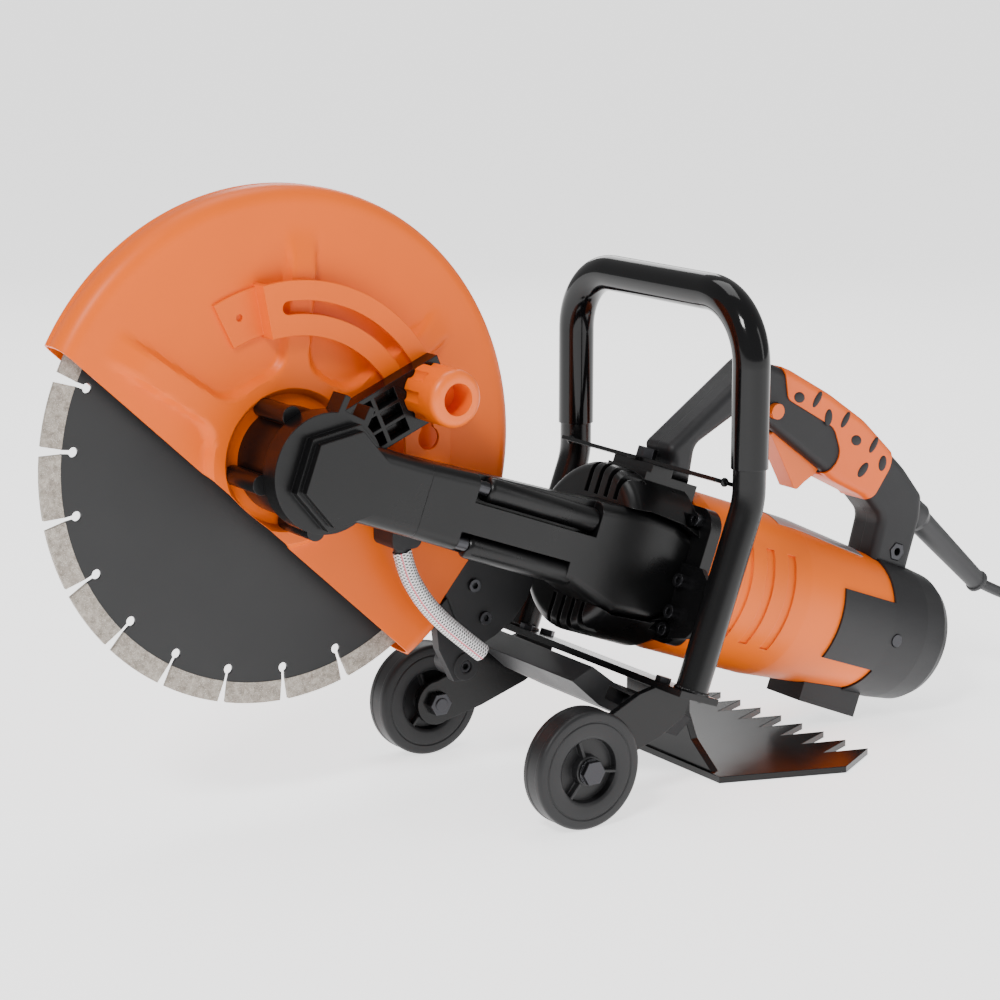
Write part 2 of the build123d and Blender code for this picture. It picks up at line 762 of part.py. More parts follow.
with BuildPart() as guard_slot_bracket:
    extrude(ring_sector(upright_at(bracket_far), bracket_inner, bracket_outer, bracket_start, bracket_end),
            amount=bracket_sheet)
    extrude(
        ring_sector(upright_at(bracket_far + 1), slot_radius - slot_width / 2, slot_radius + slot_width / 2,
                    slot_start_angle, slot_end_angle),
        amount=bracket_sheet + 2, mode=Mode.SUBTRACT,
    )
    for centre, radius in (
        (polar(slot_radius, slot_end_angle), slot_width / 2),
        (polar(slot_radius, slot_start_angle), keyhole_opening_radius),
    ):
        add_discs(upright_at, [(bracket_far + 1, bracket_face - 1, radius)], centre, Mode.SUBTRACT)
    # risers and feet at both ends stand the bracket off the shell
    for start, end in ((bracket_end, bracket_end + 1.6), (bracket_start - 1.6, bracket_start)):
        extrude(ring_sector(upright_at(guard_near_face), bracket_inner, bracket_outer, start, end),
                amount=guard_near_face - bracket_face)
    for start, end in ((bracket_end, bracket_end + 17), (bracket_start - 9, bracket_start)):
        extrude(ring_sector(upright_at(guard_near_face), bracket_inner + 2, bracket_outer - 2, start, end),
                amount=bracket_sheet)
    add_discs(upright_at, [(guard_near_face + 1, bracket_face - 1, 2.5)],
              polar(slot_radius, bracket_end + 10), Mode.SUBTRACT)
guard_slot_bracket.part.label = "guard_slot_bracket"
export_step(guard_slot_bracket.part, "parts/guard_slot_bracket.step")

# Plastic splash deflector at the rear corner, outside the shells and round the blade.
deflector_outline = [
    (149, -91), (178, -64), (209, -95), (211, -110), (203, -129), (190, -144), (174, -153),
    (160, -159), (146, -150), (133, -119), (131, -116),
]
block_outline = [
    (122.5, -128), (133, -119), (146, -150), (160, -166), (158, -180), (149, -184), (139, -183),
    (126, -157),
]
block_pin = (149, -173)

with BuildSketch(upright_at(guard_far_face + 1)) as shell_area:
    Circle(guard_radius + 0.2)
    Polygon(*rear_edge, align=None, mode=Mode.SUBTRACT)

with BuildSketch(upright_at(guard_far_face + 1)) as block_area:
    Polygon(*block_outline, align=None)
    with Locations(block_pin):
        Circle(11)

with BuildPart() as rear_deflector:
    with BuildSketch(upright_at(guard_far_face - 1)):
        Polygon(*deflector_outline, align=None)
    extrude(amount=guard_far_face - guard_near_face - 2)
    extrude(shell_area.sketch, amount=40, mode=Mode.SUBTRACT)
    extrude(block_area.sketch, amount=40, mode=Mode.SUBTRACT)
    add_discs(upright_at, [(guard_far_face - 4, guard_near_face + 4, blade_radius + 4)], mode=Mode.SUBTRACT)
rear_deflector.part.label = "rear_deflector"
export_step(rear_deflector.part, "parts/rear_deflector.step")

with BuildPart() as deflector_block:
    with BuildSketch(upright_at(36.5)):
        Polygon(*block_outline, align=None)
    extrude(amount=36.5 - guard_near_face - guard_sheet)
    with BuildSketch(upright_at(guard_far_face - 3)):
        with Locations(block_pin):
            Circle(10.5)
    extrude(amount=guard_far_face - 3 - guard_near_face - 1)
    add_discs(upright_at, [(guard_near_face + 5, guard_near_face, 5.0)], block_pin, Mode.SUBTRACT)
deflector_block.part.label = "deflector_block"
export_step(deflector_block.part, "parts/deflector_block.step")

deflector_screw_places = ((155.5, -112), (165, -138))
with BuildPart() as deflector_screws:
    with BuildSketch(upright_at(guard_near_face + 1)):
        with Locations(*deflector_screw_places):
            Circle(5.0)
            RegularPolygon(radius=2.4, side_count=6, mode=Mode.SUBTRACT)
    extrude(amount=2.6)
    with BuildSketch(upright_at(guard_near_face + 5)):
        with Locations(block_pin):
            Circle(4.9)
            RegularPolygon(radius=2.6, side_count=6, mode=Mode.SUBTRACT)
    extrude(amount=3)
deflector_screws.part.label = "deflector_screws"
export_step(deflector_screws.part, "parts/deflector_screws.step")

# ---- water feed on the guard: a plastic elbow and a short stub of clear braided hose ----

hose_y = 5.5
hose_radius = 7.0
hose_bore_radius = 4.5
hose_route = [(81, -72), (84.5, -86), (91, -99), (101, -114), (115, -129), (131, -143), (148, -157)]


def route_radii(points):
    # The largest tangent arc that each pair of runs allows, 0.45 of the shorter run.
    radii = []
    for before, corner, after in zip(points, points[1:], points[2:]):
        first = Vector(*corner) - Vector(*before)
        last = Vector(*after) - Vector(*corner)
        turn = math.radians(first.get_angle(last))
        radii.append(0.45 * min(first.length, last.length) / math.tan(turn / 2))
    return radii


def route_wire(points):
    with BuildLine() as line:
        FilletPolyline(*points, radius=route_radii(points))
    return line.wire()


def round_sweep(wire, radius):
    start = Plane(origin=wire @ 0, z_dir=wire % 0)
    with BuildSketch(start) as section:
        Circle(radius)
    return section.sketch


hose_points = [from_spindle(x, hose_y, z) for x, z in hose_route]
hose_wire = route_wire(hose_points)
with BuildPart() as water_hose:
    sweep(round_sweep(hose_wire, hose_radius), path=hose_wire)
    sweep(round_sweep(hose_wire, hose_bore_radius), path=hose_wire, mode=Mode.SUBTRACT)
water_hose.part.label = "water_hose"
export_step(water_hose.part, "parts/water_hose.step")
print("hose radii", [round(radius, 1) for radius in route_radii(hose_points)])
print("hose length", round(hose_wire.length, 1))

with BuildPart() as hose_connector:
    with BuildSketch(upright_at(guard_near_face)):
        with Locations((82, -61)):
            RectangleRounded(24, 18, 6)
    extrude(amount=guard_near_face + 0.5)
    with BuildSketch(Plane(origin=hose_points[0], z_dir=Vector(*hose_points[0]) - Vector(*hose_points[1]))):
        Circle(hose_bore_radius + 1.2)
    extrude(amount=6)
    # barb that fills the hose's first part
    with BuildSketch(Plane(origin=hose_points[0], z_dir=Vector(*hose_points[1]) - Vector(*hose_points[0]))):
        Circle(hose_bore_radius - 0.05)
    extrude(amount=7)
hose_connector.part.label = "hose_connector"
export_step(hose_connector.part, "parts/hose_connector.step")

# ---- guard lock: a ribbed bar on the spindle housing, a stud through the curved slot, and its knob ----

bar_near = -2.7
bar_far = bracket_face - 0.6
bar_end = 124.0
bar_width = 41.0
knob_far = bar_near - 0.3
knob_near = -41.5
knob_radius = 20.5
knob_bore = 11.4
stud_place = polar(slot_radius, stud_angle)

with BuildPart() as lock_bar:
    with BuildSketch(upright_at(bar_far)):
        with Locations(polar((housing_radius + bar_end) / 2, stud_angle)):
            Rectangle(bar_end - housing_radius, bar_width, rotation=stud_angle)
        Circle(housing_radius + 0.2, mode=Mode.SUBTRACT)
    extrude(amount=bar_far - bar_near)
    # pockets that leave ribs between them
    with BuildSketch(upright_at(bar_near + 9)):
        for along in (55, 75):
            for over in (-12.2, 0, 12.2):
                spot = polar(along, stud_angle)
                shift = polar(over, stud_angle + 90)
                with Locations((spot[0] + shift[0], spot[1] + shift[1])):
                    Rectangle(16.5, 9.6, rotation=stud_angle)
    extrude(amount=10, mode=Mode.SUBTRACT)
    add_discs(upright_at, [(bar_far + 1, bar_near - 1, stud_radius + 0.1)], stud_place, Mode.SUBTRACT)
lock_bar.part.label = "lock_bar"
export_step(lock_bar.part, "parts/lock_bar.step")

with BuildPart() as lock_stud:
    add_discs(upright_at, [
        (bracket_far + 5.5, bracket_far + 0.6, 7.8),
        (bracket_far + 0.6, -17.0, stud_radius),
    ], stud_place)
lock_stud.part.label = "lock_stud"
export_step(lock_stud.part, "parts/lock_stud.step")

with BuildPart() as lock_knob:
    add_discs(upright_at, [(knob_far, knob_near, knob_radius)], stud_place)
    knob_rims = lock_knob.edges().filter_by(GeomType.CIRCLE).sort_by(Axis.Y)
    fillet(knob_rims[0], 6)
    with BuildSketch(upright_at(knob_far + 1)):
        with Locations(stud_place):
            with PolarLocations(knob_radius + 2.6, 8):
                Circle(5.0)
    extrude(amount=20, mode=Mode.SUBTRACT)
    add_discs(upright_at, [(-18.0, knob_near - 1, knob_bore), (knob_far + 1, -19.0, stud_radius + 0.05)],
              stud_place, Mode.SUBTRACT)
lock_knob.part.label = "lock_knob"
export_step(lock_knob.part, "parts/lock_knob.step")

# ---- front handle: bent tube, glossy sleeve, strap and side brackets ----

leg_foot_w = -77.0
leg_bend_w = (leg_x - leg_u * cos_tilt) / sin_tilt
leg_bend_z = -leg_u * sin_tilt + leg_bend_w * cos_tilt
sleeve_end_z = -18.0
foot_point = (leg_u * cos_tilt + leg_foot_w * sin_tilt, -leg_u * sin_tilt + leg_foot_w * cos_tilt)

tube_points = [
    from_spindle(foot_point[0], -leg_y, foot_point[1]), from_spindle(leg_x, -leg_y, leg_bend_z),
    from_spindle(leg_x, -leg_y, handle_top_z), from_spindle(leg_x, leg_y, handle_top_z),
    from_spindle(leg_x, leg_y, leg_bend_z), from_spindle(foot_point[0], leg_y, foot_point[1]),
]
with BuildLine() as tube_line:
    FilletPolyline(*tube_points, radius=[60, handle_corner, handle_corner, 60])
sleeve_points = [
    from_spindle(leg_x, -leg_y, sleeve_end_z), from_spindle(leg_x, -leg_y, handle_top_z),
    from_spindle(leg_x, leg_y, handle_top_z), from_spindle(leg_x, leg_y, sleeve_end_z),
]
with BuildLine() as sleeve_line:
    FilletPolyline(*sleeve_points, radius=handle_corner)

tube_wall = 2.5
tube_wire = tube_line.wire()
with BuildPart() as handle_tube:
    sweep(round_sweep(tube_wire, tube_radius), path=tube_wire)
    sweep(round_sweep(tube_wire, tube_radius - tube_wall), path=tube_wire, mode=Mode.SUBTRACT)
handle_tube.part.label = "handle_tube"
export_step(handle_tube.part, "parts/handle_tube.step")

sleeve_wire = sleeve_line.wire()
with BuildPart() as handle_sleeve:
    sweep(round_sweep(sleeve_wire, sleeve_radius), path=sleeve_wire)
    sweep(round_sweep(sleeve_wire, tube_radius), path=sleeve_wire, mode=Mode.SUBTRACT)
handle_sleeve.part.label = "handle_sleeve"
export_step(handle_sleeve.part, "parts/handle_sleeve.step")

strap_thickness = 3.0
strap_end = leg_y - tube_radius
with BuildPart() as handle_strap:
    with BuildSketch(side_at(strap_end)):
        with Locations((pad_u, pad_top + strap_thickness / 2)):
            Rectangle(18, strap_thickness)
    extrude(amount=2 * strap_end)
    with BuildSketch(side_at(5)):
        with Locations((pad_u, pad_top + strap_thickness / 2)):
            Rectangle(26, strap_thickness)
    extrude(amount=10)
handle_strap.part.label = "handle_strap"
export_step(handle_strap.part, "parts/handle_strap.step")

plate_outline = [(50, 9), (74, 9), (97, -8), (97, -22), (79, -42.5), (50, -50)]
with BuildPart() as side_brackets:
    for turn in (1, -1):
        with BuildSketch(across(flange_front - bracket_plate)):
            Polygon(*[(turn * y, w) for y, w in plate_outline], align=None)
            with Locations((turn * 59, -4), (turn * 59, -28)):
                Circle(flange_screw_radius + 0.1, mode=Mode.SUBTRACT)
            with Locations((turn * 52, -42)):
                Circle(7.0, mode=Mode.SUBTRACT)
        extrude(amount=bracket_plate)
side_brackets.part.label = "side_brackets"
export_step(side_brackets.part, "parts/side_brackets.step")

with BuildPart() as case_screws:
    # socket screws through the flange, from the front
    for y, w in flange_screws:
        seat = flange_front if abs(y) < 55 else flange_front - bracket_plate
        with BuildSketch(across(seat - 7)):
            with Locations((y, w)):
                Circle(5.2)
        extrude(amount=7)
        with BuildSketch(across(seat - 8)):
            with Locations((y, w)):
                RegularPolygon(radius=2.6, side_count=6)
        extrude(amount=5, mode=Mode.SUBTRACT)
        with BuildSketch(across(seat)):
            with Locations((y, w)):
                Circle(flange_screw_radius)
        extrude(amount=motor_front - seat)
    # two long screws in the arm's troughs
    for start, y, w in ((112.5, -43.0, 20.0), (108.5, -43.0, -21.0)):
        with BuildSketch(across(start)):
            with Locations((y, w)):
                Circle(5.0)
        extrude(amount=9)
case_screws.part.label = "case_screws"
export_step(case_screws.part, "parts/case_screws.step")

# ---- wheel frame, claw plate and belly cover ----

crossbar_top = leg_foot_w
crossbar_thickness = 5.0
crossbar_start = 280.0
crossbar_end = 316.0
arm_plate_inner = 85.0
arm_plate_outer = 90.0
wheel_z = wheel_radius - spindle_z
crossbar_bottom = crossbar_top - crossbar_thickness


def side_to_upright(u, w):
    return (u * cos_tilt + w * sin_tilt, -u * sin_tilt + w * cos_tilt)


wheel_eye_radius = 17.0
wheel_arm_outline = [
    (wheel_x, wheel_z + wheel_eye_radius), (196, -189), (222, -177),
    side_to_upright(crossbar_start + 1, crossbar_bottom),
    side_to_upright(crossbar_end - 1, crossbar_bottom),
    (262, -200), (240, -212), (200, -225), (wheel_x, wheel_z - wheel_eye_radius),
]
with BuildPart() as wheel_frame:
    with BuildSketch(side_at(leg_y + tube_radius)):
        with Locations(((crossbar_start + crossbar_end) / 2, crossbar_top - crossbar_thickness / 2)):
            Rectangle(crossbar_end - crossbar_start, crossbar_thickness)
    extrude(amount=2 * (leg_y + tube_radius))
    for far in (arm_plate_outer, -arm_plate_inner):
        with BuildSketch(upright_at(far)):
            Polygon(*wheel_arm_outline, align=None)
            with Locations((wheel_x, wheel_z)):
                Circle(wheel_eye_radius)
                Circle(wheel_axle_bolt_radius + 0.1, mode=Mode.SUBTRACT)
        extrude(amount=arm_plate_outer - arm_plate_inner)
wheel_frame.part.label = "wheel_frame"
export_step(wheel_frame.part, "parts/wheel_frame.step")

hub_recess_radius = 23.5
hub_boss_radius = 11.0
hub_recess_depth = 8.0


def add_wheel(side_sign):
    outer_face = wheel_inner_face + wheel_width
    far = outer_face if side_sign > 0 else -wheel_inner_face
    near = far - wheel_width
    centre = (wheel_x, wheel_z)
    add_discs(upright_at, [(far, near, wheel_radius)], centre)
    for top, bottom in ((far, far - hub_recess_depth), (near + hub_recess_depth, near)):
        with BuildSketch(upright_at(top)) as recess:
            with Locations(centre):
                Circle(hub_recess_radius)
                Circle(hub_boss_radius, mode=Mode.SUBTRACT)
                with PolarLocations(17.5, 3, start_angle=70):
                    Rectangle(14, 2.2, mode=Mode.SUBTRACT)
        extrude(recess.sketch, amount=top - bottom, mode=Mode.SUBTRACT)
    add_discs(upright_at, [(far + 1, near - 1, wheel_axle_bolt_radius + 0.08)], centre, Mode.SUBTRACT)


def is_tread_rim(edge):
    return edge.geom_type == GeomType.CIRCLE and edge.radius > wheel_radius - 1


with BuildPart() as near_wheel:
    add_wheel(-1)
    chamfer(near_wheel.edges().filter_by(is_tread_rim), 2.0)
near_wheel.part.label = "near_wheel"
export_step(near_wheel.part, "parts/near_wheel.step")

with BuildPart() as far_wheel:
    add_wheel(1)
    chamfer(far_wheel.edges().filter_by(is_tread_rim), 2.0)
far_wheel.part.label = "far_wheel"
export_step(far_wheel.part, "parts/far_wheel.step")

outer_face = wheel_inner_face + wheel_width
with BuildPart() as frame_bolts:
    # shouldered axle bolts with a washer outside, a spacer and a nut inside
    for turn in (1, -1):
        for start, end, radius in (
            (78.0, outer_face + 0.3, wheel_axle_bolt_radius),
            (arm_plate_outer, wheel_inner_face - 0.3, 8.0),
            (outer_face + 0.3, outer_face + 1.6, 9.5),
        ):
            far, near = (end, start) if turn > 0 else (-start, -end)
            with BuildSketch(upright_at(far)):
                with Locations((wheel_x, wheel_z)):
                    Circle(radius)
            extrude(amount=far - near)
        for start, end in ((79.0, arm_plate_inner), (outer_face + 1.6, outer_face + 5.6)):
            far, near = (end, start) if turn > 0 else (-start, -end)
            with BuildSketch(upright_at(far)):
                with Locations((wheel_x, wheel_z)):
                    RegularPolygon(radius=8, side_count=6, major_radius=False)
            extrude(amount=far - near)
    # strap bolt, and the bolts that hold the wheel arms and the legs to the crossbar
    strap_bolt = Plane(origin=axis_point(pad_u, pad_top + strap_thickness), x_dir=(0, 1, 0),
                       z_dir=(sin_tilt, 0, cos_tilt))
    with BuildSketch(strap_bolt):
        RegularPolygon(radius=6.5, side_count=6, major_radius=False)
    extrude(amount=8)
    bar_face = Plane(origin=axis_point((crossbar_start + crossbar_end) / 2, crossbar_top), x_dir=(0, 1, 0),
                     z_dir=(sin_tilt, 0, cos_tilt))
    with BuildSketch(bar_face):
        with GridLocations(2 * 87.5, 20, 2, 2):
            RegularPolygon(radius=5, side_count=6, major_radius=False)
    extrude(amount=4)
frame_bolts.part.label = "frame_bolts"
export_step(frame_bolts.part, "parts/frame_bolts.step")

# Claw plate: a toothed foot on the floor, hung from the crossbar by a bent web.
foot_thickness = 5.0
foot_front = 300.0
tip_x = 438.0
valley_x = 402.0
tooth_pitch = 26.0
tooth_count = 8
valley_shift = 10.5
foot_top = foot_thickness - spindle_z

foot_outline = [(foot_front, 84), (foot_front, -84), (395, -116)]
for index in range(tooth_count):
    tip_y = (index - (tooth_count - 1) / 2) * tooth_pitch
    foot_outline.append((tip_x, tip_y))
    if index < tooth_count - 1:
        foot_outline.append((valley_x, tip_y + valley_shift))
foot_outline.append((395, 116))

crossbar_edge = side_to_upright(crossbar_end, crossbar_bottom)
web_profile = [
    (302, foot_top), (302, -207), (crossbar_edge[0] - 14, crossbar_edge[1] + 5),
    (crossbar_edge[0] + 1.8, crossbar_edge[1] - 0.7), (308, -203), (308, foot_top),
]
web_front = [
    (-72, foot_top), (-46, -236), (-36, -218), (-36, -170), (36, -170), (36, -218), (46, -236),
    (72, foot_top),
]
floor_plane = Plane(origin=(spindle_x, 0, 0))
web_plane = Plane(origin=(spindle_x, 0, spindle_z), x_dir=(0, 1, 0), z_dir=(1, 0, 0))

with BuildPart() as claw_plate:
    with BuildSketch(upright_at(80)):
        Polygon(*web_profile, align=None)
    extrude(amount=160)
    with BuildSketch(web_plane):
        Polygon(*web_front, align=None)
    extrude(amount=400, mode=Mode.INTERSECT)
    with BuildSketch(floor_plane):
        Polygon(*foot_outline, align=None)
    extrude(amount=foot_thickness)
    add(wheel_frame.part, mode=Mode.SUBTRACT)
claw_plate.part.label = "claw_plate"
export_step(claw_plate.part, "parts/claw_plate.step")

belly_outer = [
    (182, -168), (206, -190), (240, -209), (276, -225), (290, -214), (262, -196), (228, -182), (200, -160),
]
belly_half = 62.0
with BuildPart() as belly_cover:
    with BuildSketch(upright_at(belly_half)):
        Polygon(*belly_outer, align=None)
    extrude(amount=2 * belly_half)
    # a letterbox recess in the near face
    with BuildSketch(upright_at(-belly_half + 6)):
        with Locations((222, -186)):
            Rectangle(22, 10, rotation=-30)
    extrude(amount=10, mode=Mode.SUBTRACT)
belly_cover.part.label = "belly_cover"
export_step(belly_cover.part, "parts/belly_cover.step")

# ---- rear handle: two hollow halves, soft grip skin, trigger, switch and lock button ----

handle_half = 18.0
cavity_half_width = 14.0
grip_skin = 1.3
side_round = 6.5
loop_outline = [
    (295, block_top), (295, 78), (288, 87), (347, 172), (380, 170.5), (424, 163.5), (466, 153),
    (522, 129), (549, 113), (554, 96), (556, 50), (516, 50), (513, 86), (489, 98.5), (455, 102.5),
    (348, 134), (312, 95), (317, block_top),
]
loop_radii = [0, 4, 6, 14, 40, 60, 60, 60, 10, 30, 0, 0, 12, 14, 40, 14, 12, 0]
cavity_outline = [
    (304, 98), (350, 162), (378, 161), (424, 153.5), (462, 143.5), (516, 121), (543, 104.5), (547, 94),
    (548, 62), (524, 62), (521, 92), (492, 107), (457, 112), (352, 143), (314, 106),
]
grip_region = [
    (368, 190), (372, 170), (383, 150), (436, 141), (452, 122), (440, 100), (436, 84), (482, 84),
    (497, 102), (504, 126), (498, 160), (498, 190),
]
grip_radii = [0, 8, 8, 16, 14, 0, 0, 0, 12, 20, 0, 0]
trigger_outline = [(384, 122), (418, 92), (425, 85.5), (431, 94), (440, 104), (442, 113), (398, 130)]
trigger_radii = [2, 8, 3, 8, 3, 2, 2]
trigger_half = 9.0
trigger_slot_outline = [(379, 76), (447, 76), (447, 124), (379, 142)]
lock_button_place = (374, 138.5)
lock_button_radius = 6.0
lock_flange_radius = 7.0
handle_nut_place = (538, 64)
relief_start = (554, 99.5)
relief_end = from_spindle(633, 0, -170)


def loop_sketch(grown):
    with BuildSketch(side) as loop:
        with BuildLine():
            FilletPolyline(*loop_outline, radius=loop_radii, close=True)
        make_face()
        if grown > 0:
            offset(amount=grown)
    return loop.sketch


def loop_solid(grown):
    # The handle's whole outer body, with its side edges rounded.
    with BuildPart() as solid:
        half = handle_half + grown
        extrude(moved_to_y(loop_sketch(grown), half), amount=2 * half, dir=(0, -1, 0))
        side_faces = solid.faces().filter_by(Axis.Y)
        fillet(side_faces.edges(), side_round)
    return solid.part


handle_solid = loop_solid(0)

with BuildPart() as strain_relief:
    # root bulge, long tapered sleeve and end ring, in line
    relief_base = axis_point(*relief_start)
    relief_vector = Vector(*relief_end) - Vector(*relief_base)
    length = relief_vector.length
    profile_plane = Plane(origin=relief_base, x_dir=relief_vector, z_dir=(0, 1, 0))
    with BuildSketch(profile_plane):
        with BuildLine():
            FilletPolyline(
                (-8, 0), (-8, 11.5), (11, 12.5), (16, 10.2), (length - 3.5, 8.2), (length - 3.5, 9.6),
                (length, 9.6), (length, 0), radius=[1, 4, 2, 0.5, 0.8, 0.8],
            )
            Line((length, 0), (-8, 0))
        make_face()
    revolve(axis=Axis(relief_base, relief_vector))
strain_relief.part.label = "strain_relief"
export_step(strain_relief.part, "parts/strain_relief.step")

with BuildPart() as handle_screws:
    # bolt nut through the rear leg of the handle, and the two screws of the rear cap
    with BuildSketch(side_at(-15.2)):
        with Locations(handle_nut_place):
            RegularPolygon(radius=6.4, side_count=6, major_radius=False)
            Circle(3.1, mode=Mode.SUBTRACT)
    extrude(amount=3.4)
    with BuildSketch(side_at(18.6)):
        with Locations(handle_nut_place):
            RegularPolygon(radius=6.4, side_count=6, major_radius=False)
    extrude(amount=3.4)
    for far, near in ((-cap_screw_seat, -cap_screw_seat - 3), (cap_screw_seat + 3, cap_screw_seat)):
        add_discs(side_at, [(far, near, 5.0)], cap_screw_place)
handle_screws.part.label = "handle_screws"
export_step(handle_screws.part, "parts/handle_screws.step")


def add_handle_half(turn):
    # Near half for turn -1, far half for turn 1.
    add(handle_solid)
    with BuildSketch(side_at(40 if turn < 0 else 0)) as other_half:
        with Locations((430, 110)):
            Rectangle(400, 300)
    extrude(other_half.sketch, amount=40, mode=Mode.SUBTRACT)
    with BuildSketch(side_at(cavity_half_width)) as cavity:
        Polygon(*cavity_outline, align=None)
    extrude(cavity.sketch, amount=2 * cavity_half_width, mode=Mode.SUBTRACT)
    with BuildSketch(side_at(trigger_half + 0.8)) as trigger_slot:
        Polygon(*trigger_slot_outline, align=None)
    extrude(trigger_slot.sketch, amount=2 * (trigger_half + 0.8), mode=Mode.SUBTRACT)
    with BuildSketch(side_at(22)) as nut_recess:
        with Locations(handle_nut_place):
            RegularPolygon(radius=6.8, side_count=6, major_radius=False)
    extrude(nut_recess.sketch, amount=44, mode=Mode.SUBTRACT)
    add(strain_relief.part, mode=Mode.SUBTRACT)
    add(rear_cap.part, mode=Mode.SUBTRACT)
    add_rounds([
        (motor_front, motor_rear, motor_radius_rear + 0.2),
        (motor_rear, cap_rear, 52.0),
    ], Mode.SUBTRACT)
    add(motor_housing.part, mode=Mode.SUBTRACT)


with BuildPart() as handle_left:
    add_handle_half(-1)
    # the lock button's bore, and the deeper pocket that its flange travels in
    add_discs(side_at, [
        (-cavity_half_width + 1, -handle_half - 1, lock_button_radius + running_gap),
        (-6.0, -cavity_half_width - 0.1, lock_flange_radius + running_gap),
    ], lock_button_place, Mode.SUBTRACT)
handle_left.part.label = "handle_left"
export_step(handle_left.part, "parts/handle_left.step")

with BuildPart() as handle_right:
    add_handle_half(1)
handle_right.part.label = "handle_right"
export_step(handle_right.part, "parts/handle_right.step")

with BuildPart() as grip_overmould:
    add(loop_solid(grip_skin))
    with BuildSketch(side_at(40)) as region:
        with BuildLine():
            FilletPolyline(*grip_region, radius=grip_radii, close=True)
        make_face()
    extrude(region.sketch, amount=80, mode=Mode.INTERSECT)
    add(handle_solid, mode=Mode.SUBTRACT)
    with BuildSketch(side_at(trigger_half + 0.8)) as trigger_slot:
        Polygon(*trigger_slot_outline, align=None)
    extrude(trigger_slot.sketch, amount=2 * (trigger_half + 0.8), mode=Mode.SUBTRACT)
grip_overmould.part.label = "grip_overmould"
export_step(grip_overmould.part, "parts/grip_overmould.step")

with BuildPart() as trigger:
    with BuildSketch(side_at(trigger_half)):
        with BuildLine():
            FilletPolyline(*trigger_outline, radius=trigger_radii, close=True)
        make_face()
    extrude(amount=2 * trigger_half)
trigger.part.label = "trigger"
export_step(trigger.part, "parts/trigger.step")

with BuildPart() as trigger_switch:
    with BuildSketch(side_at(9)):
        with Locations((426, 139)):
            Rectangle(38, 13)
    extrude(amount=18)
trigger_switch.part.label = "trigger_switch"
export_step(trigger_switch.part, "parts/trigger_switch.step")

with BuildPart() as lock_button:
    add_discs(side_at, [
        (-9.5, -cavity_half_width + 0.4, lock_flange_radius),
        (-cavity_half_width + 0.4, -handle_half - 4.5, lock_button_radius),
    ], lock_button_place)
lock_button.part.label = "lock_button"
export_step(lock_button.part, "parts/lock_button.step")

# ---- mains cord: tube to the floor, stored coil, short tail and plug ----

coil_centre = (730, -70)
coil_outer_turn = 63.0
coil_inner_turn = 34.9
coil_pitch = 2 * cord_radius + 0.1
floor_z = cord_radius - spindle_z
layer_two_z = floor_z + coil_pitch
plug_axis_z = 19.0 - spindle_z


def coil_point(angle, height):
    x = coil_centre[0] + coil_outer_turn * math.cos(math.radians(angle))
    y = coil_centre[1] + coil_outer_turn * math.sin(math.radians(angle))
    return from_spindle(x, y, height)


cord_points = [
    from_spindle(632, 0, -169), from_spindle(653, 0, -180), from_spindle(677, 0, -189),
    from_spindle(695, 0, -204.5), from_spindle(710, -0.5, -225.5), from_spindle(729, -2, -243.5),
    coil_point(65, floor_z), coil_point(36.5, floor_z),
]
tail_points = [
    coil_point(30, layer_two_z), coil_point(10, layer_two_z), from_spindle(796.3, -81, -245),
    from_spindle(801.5, -102, plug_axis_z),
]
with BuildPart() as mains_cord:
    cord_length = 0
    for route in (cord_points, tail_points):
        route_line = route_wire(route)
        sweep(round_sweep(route_line, cord_radius), path=route_line)
        cord_length += route_line.length
        print("cord radii", [round(radius, 1) for radius in route_radii(route)])
mains_cord.part.label = "mains_cord"
export_step(mains_cord.part, "parts/mains_cord.step")
section_area = math.pi * cord_radius ** 2
cord_share = mains_cord.part.volume / (section_area * cord_length)
print("cord volume over section times length", round(cord_share, 4), "length", round(cord_length, 1))

with BuildPart() as cord_coil:
    with BuildSketch(Plane(origin=from_spindle(*coil_centre, -spindle_z))):
        Circle(coil_outer_turn + cord_radius + 0.5)
        Circle(coil_inner_turn - cord_radius - 0.5, mode=Mode.SUBTRACT)
    extrude(amount=2 * cord_radius + coil_pitch)
    fillet(cord_coil.edges().filter_by(GeomType.CIRCLE), 3.5)
cord_coil.part.label = "cord_coil"
export_step(cord_coil.part, "parts/cord_coil.step")

plug_back = from_spindle(801, -98, plug_axis_z)
plug_direction = (math.sin(math.radians(12)), -math.cos(math.radians(12)), 0)
plug_base = Plane(origin=plug_back, x_dir=plug_direction, z_dir=(0, 0, 1))
plug_axis = Axis(plug_back, plug_direction)
with BuildPart() as plug_body:
    with BuildSketch(plug_base):
        with BuildLine():
            FilletPolyline(
                (0, 0), (0, 7.0), (20, 9.5), (26, 15), (42, 15.5), (46, 18.8), (58, 18.8), (58, 0),
                radius=[1.5, 8, 5, 3, 3, 1.5],
            )
            Line((58, 0), (0, 0))
        make_face()
    revolve(axis=plug_axis)
plug_body.part.label = "plug_body"
export_step(plug_body.part, "parts/plug_body.step")

plug_face = Plane(
    origin=(Vector(*plug_back) + Vector(*plug_direction) * 58),
    x_dir=(0, 0, 1), z_dir=plug_direction,
)
with BuildPart() as plug_pins:
    with BuildSketch(plug_face):
        with GridLocations(19, 19, 2, 1):
            Circle(2.4)
    extrude(amount=19)
    pin_tips = plug_pins.faces().sort_by(plug_axis)[-2:]
    fillet(pin_tips.edges(), 1.2)
plug_pins.part.label = "plug_pins"
export_step(plug_pins.part, "parts/plug_pins.step")
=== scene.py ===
import json
import math

import bmesh
import bpy
from mathutils import Matrix, Vector


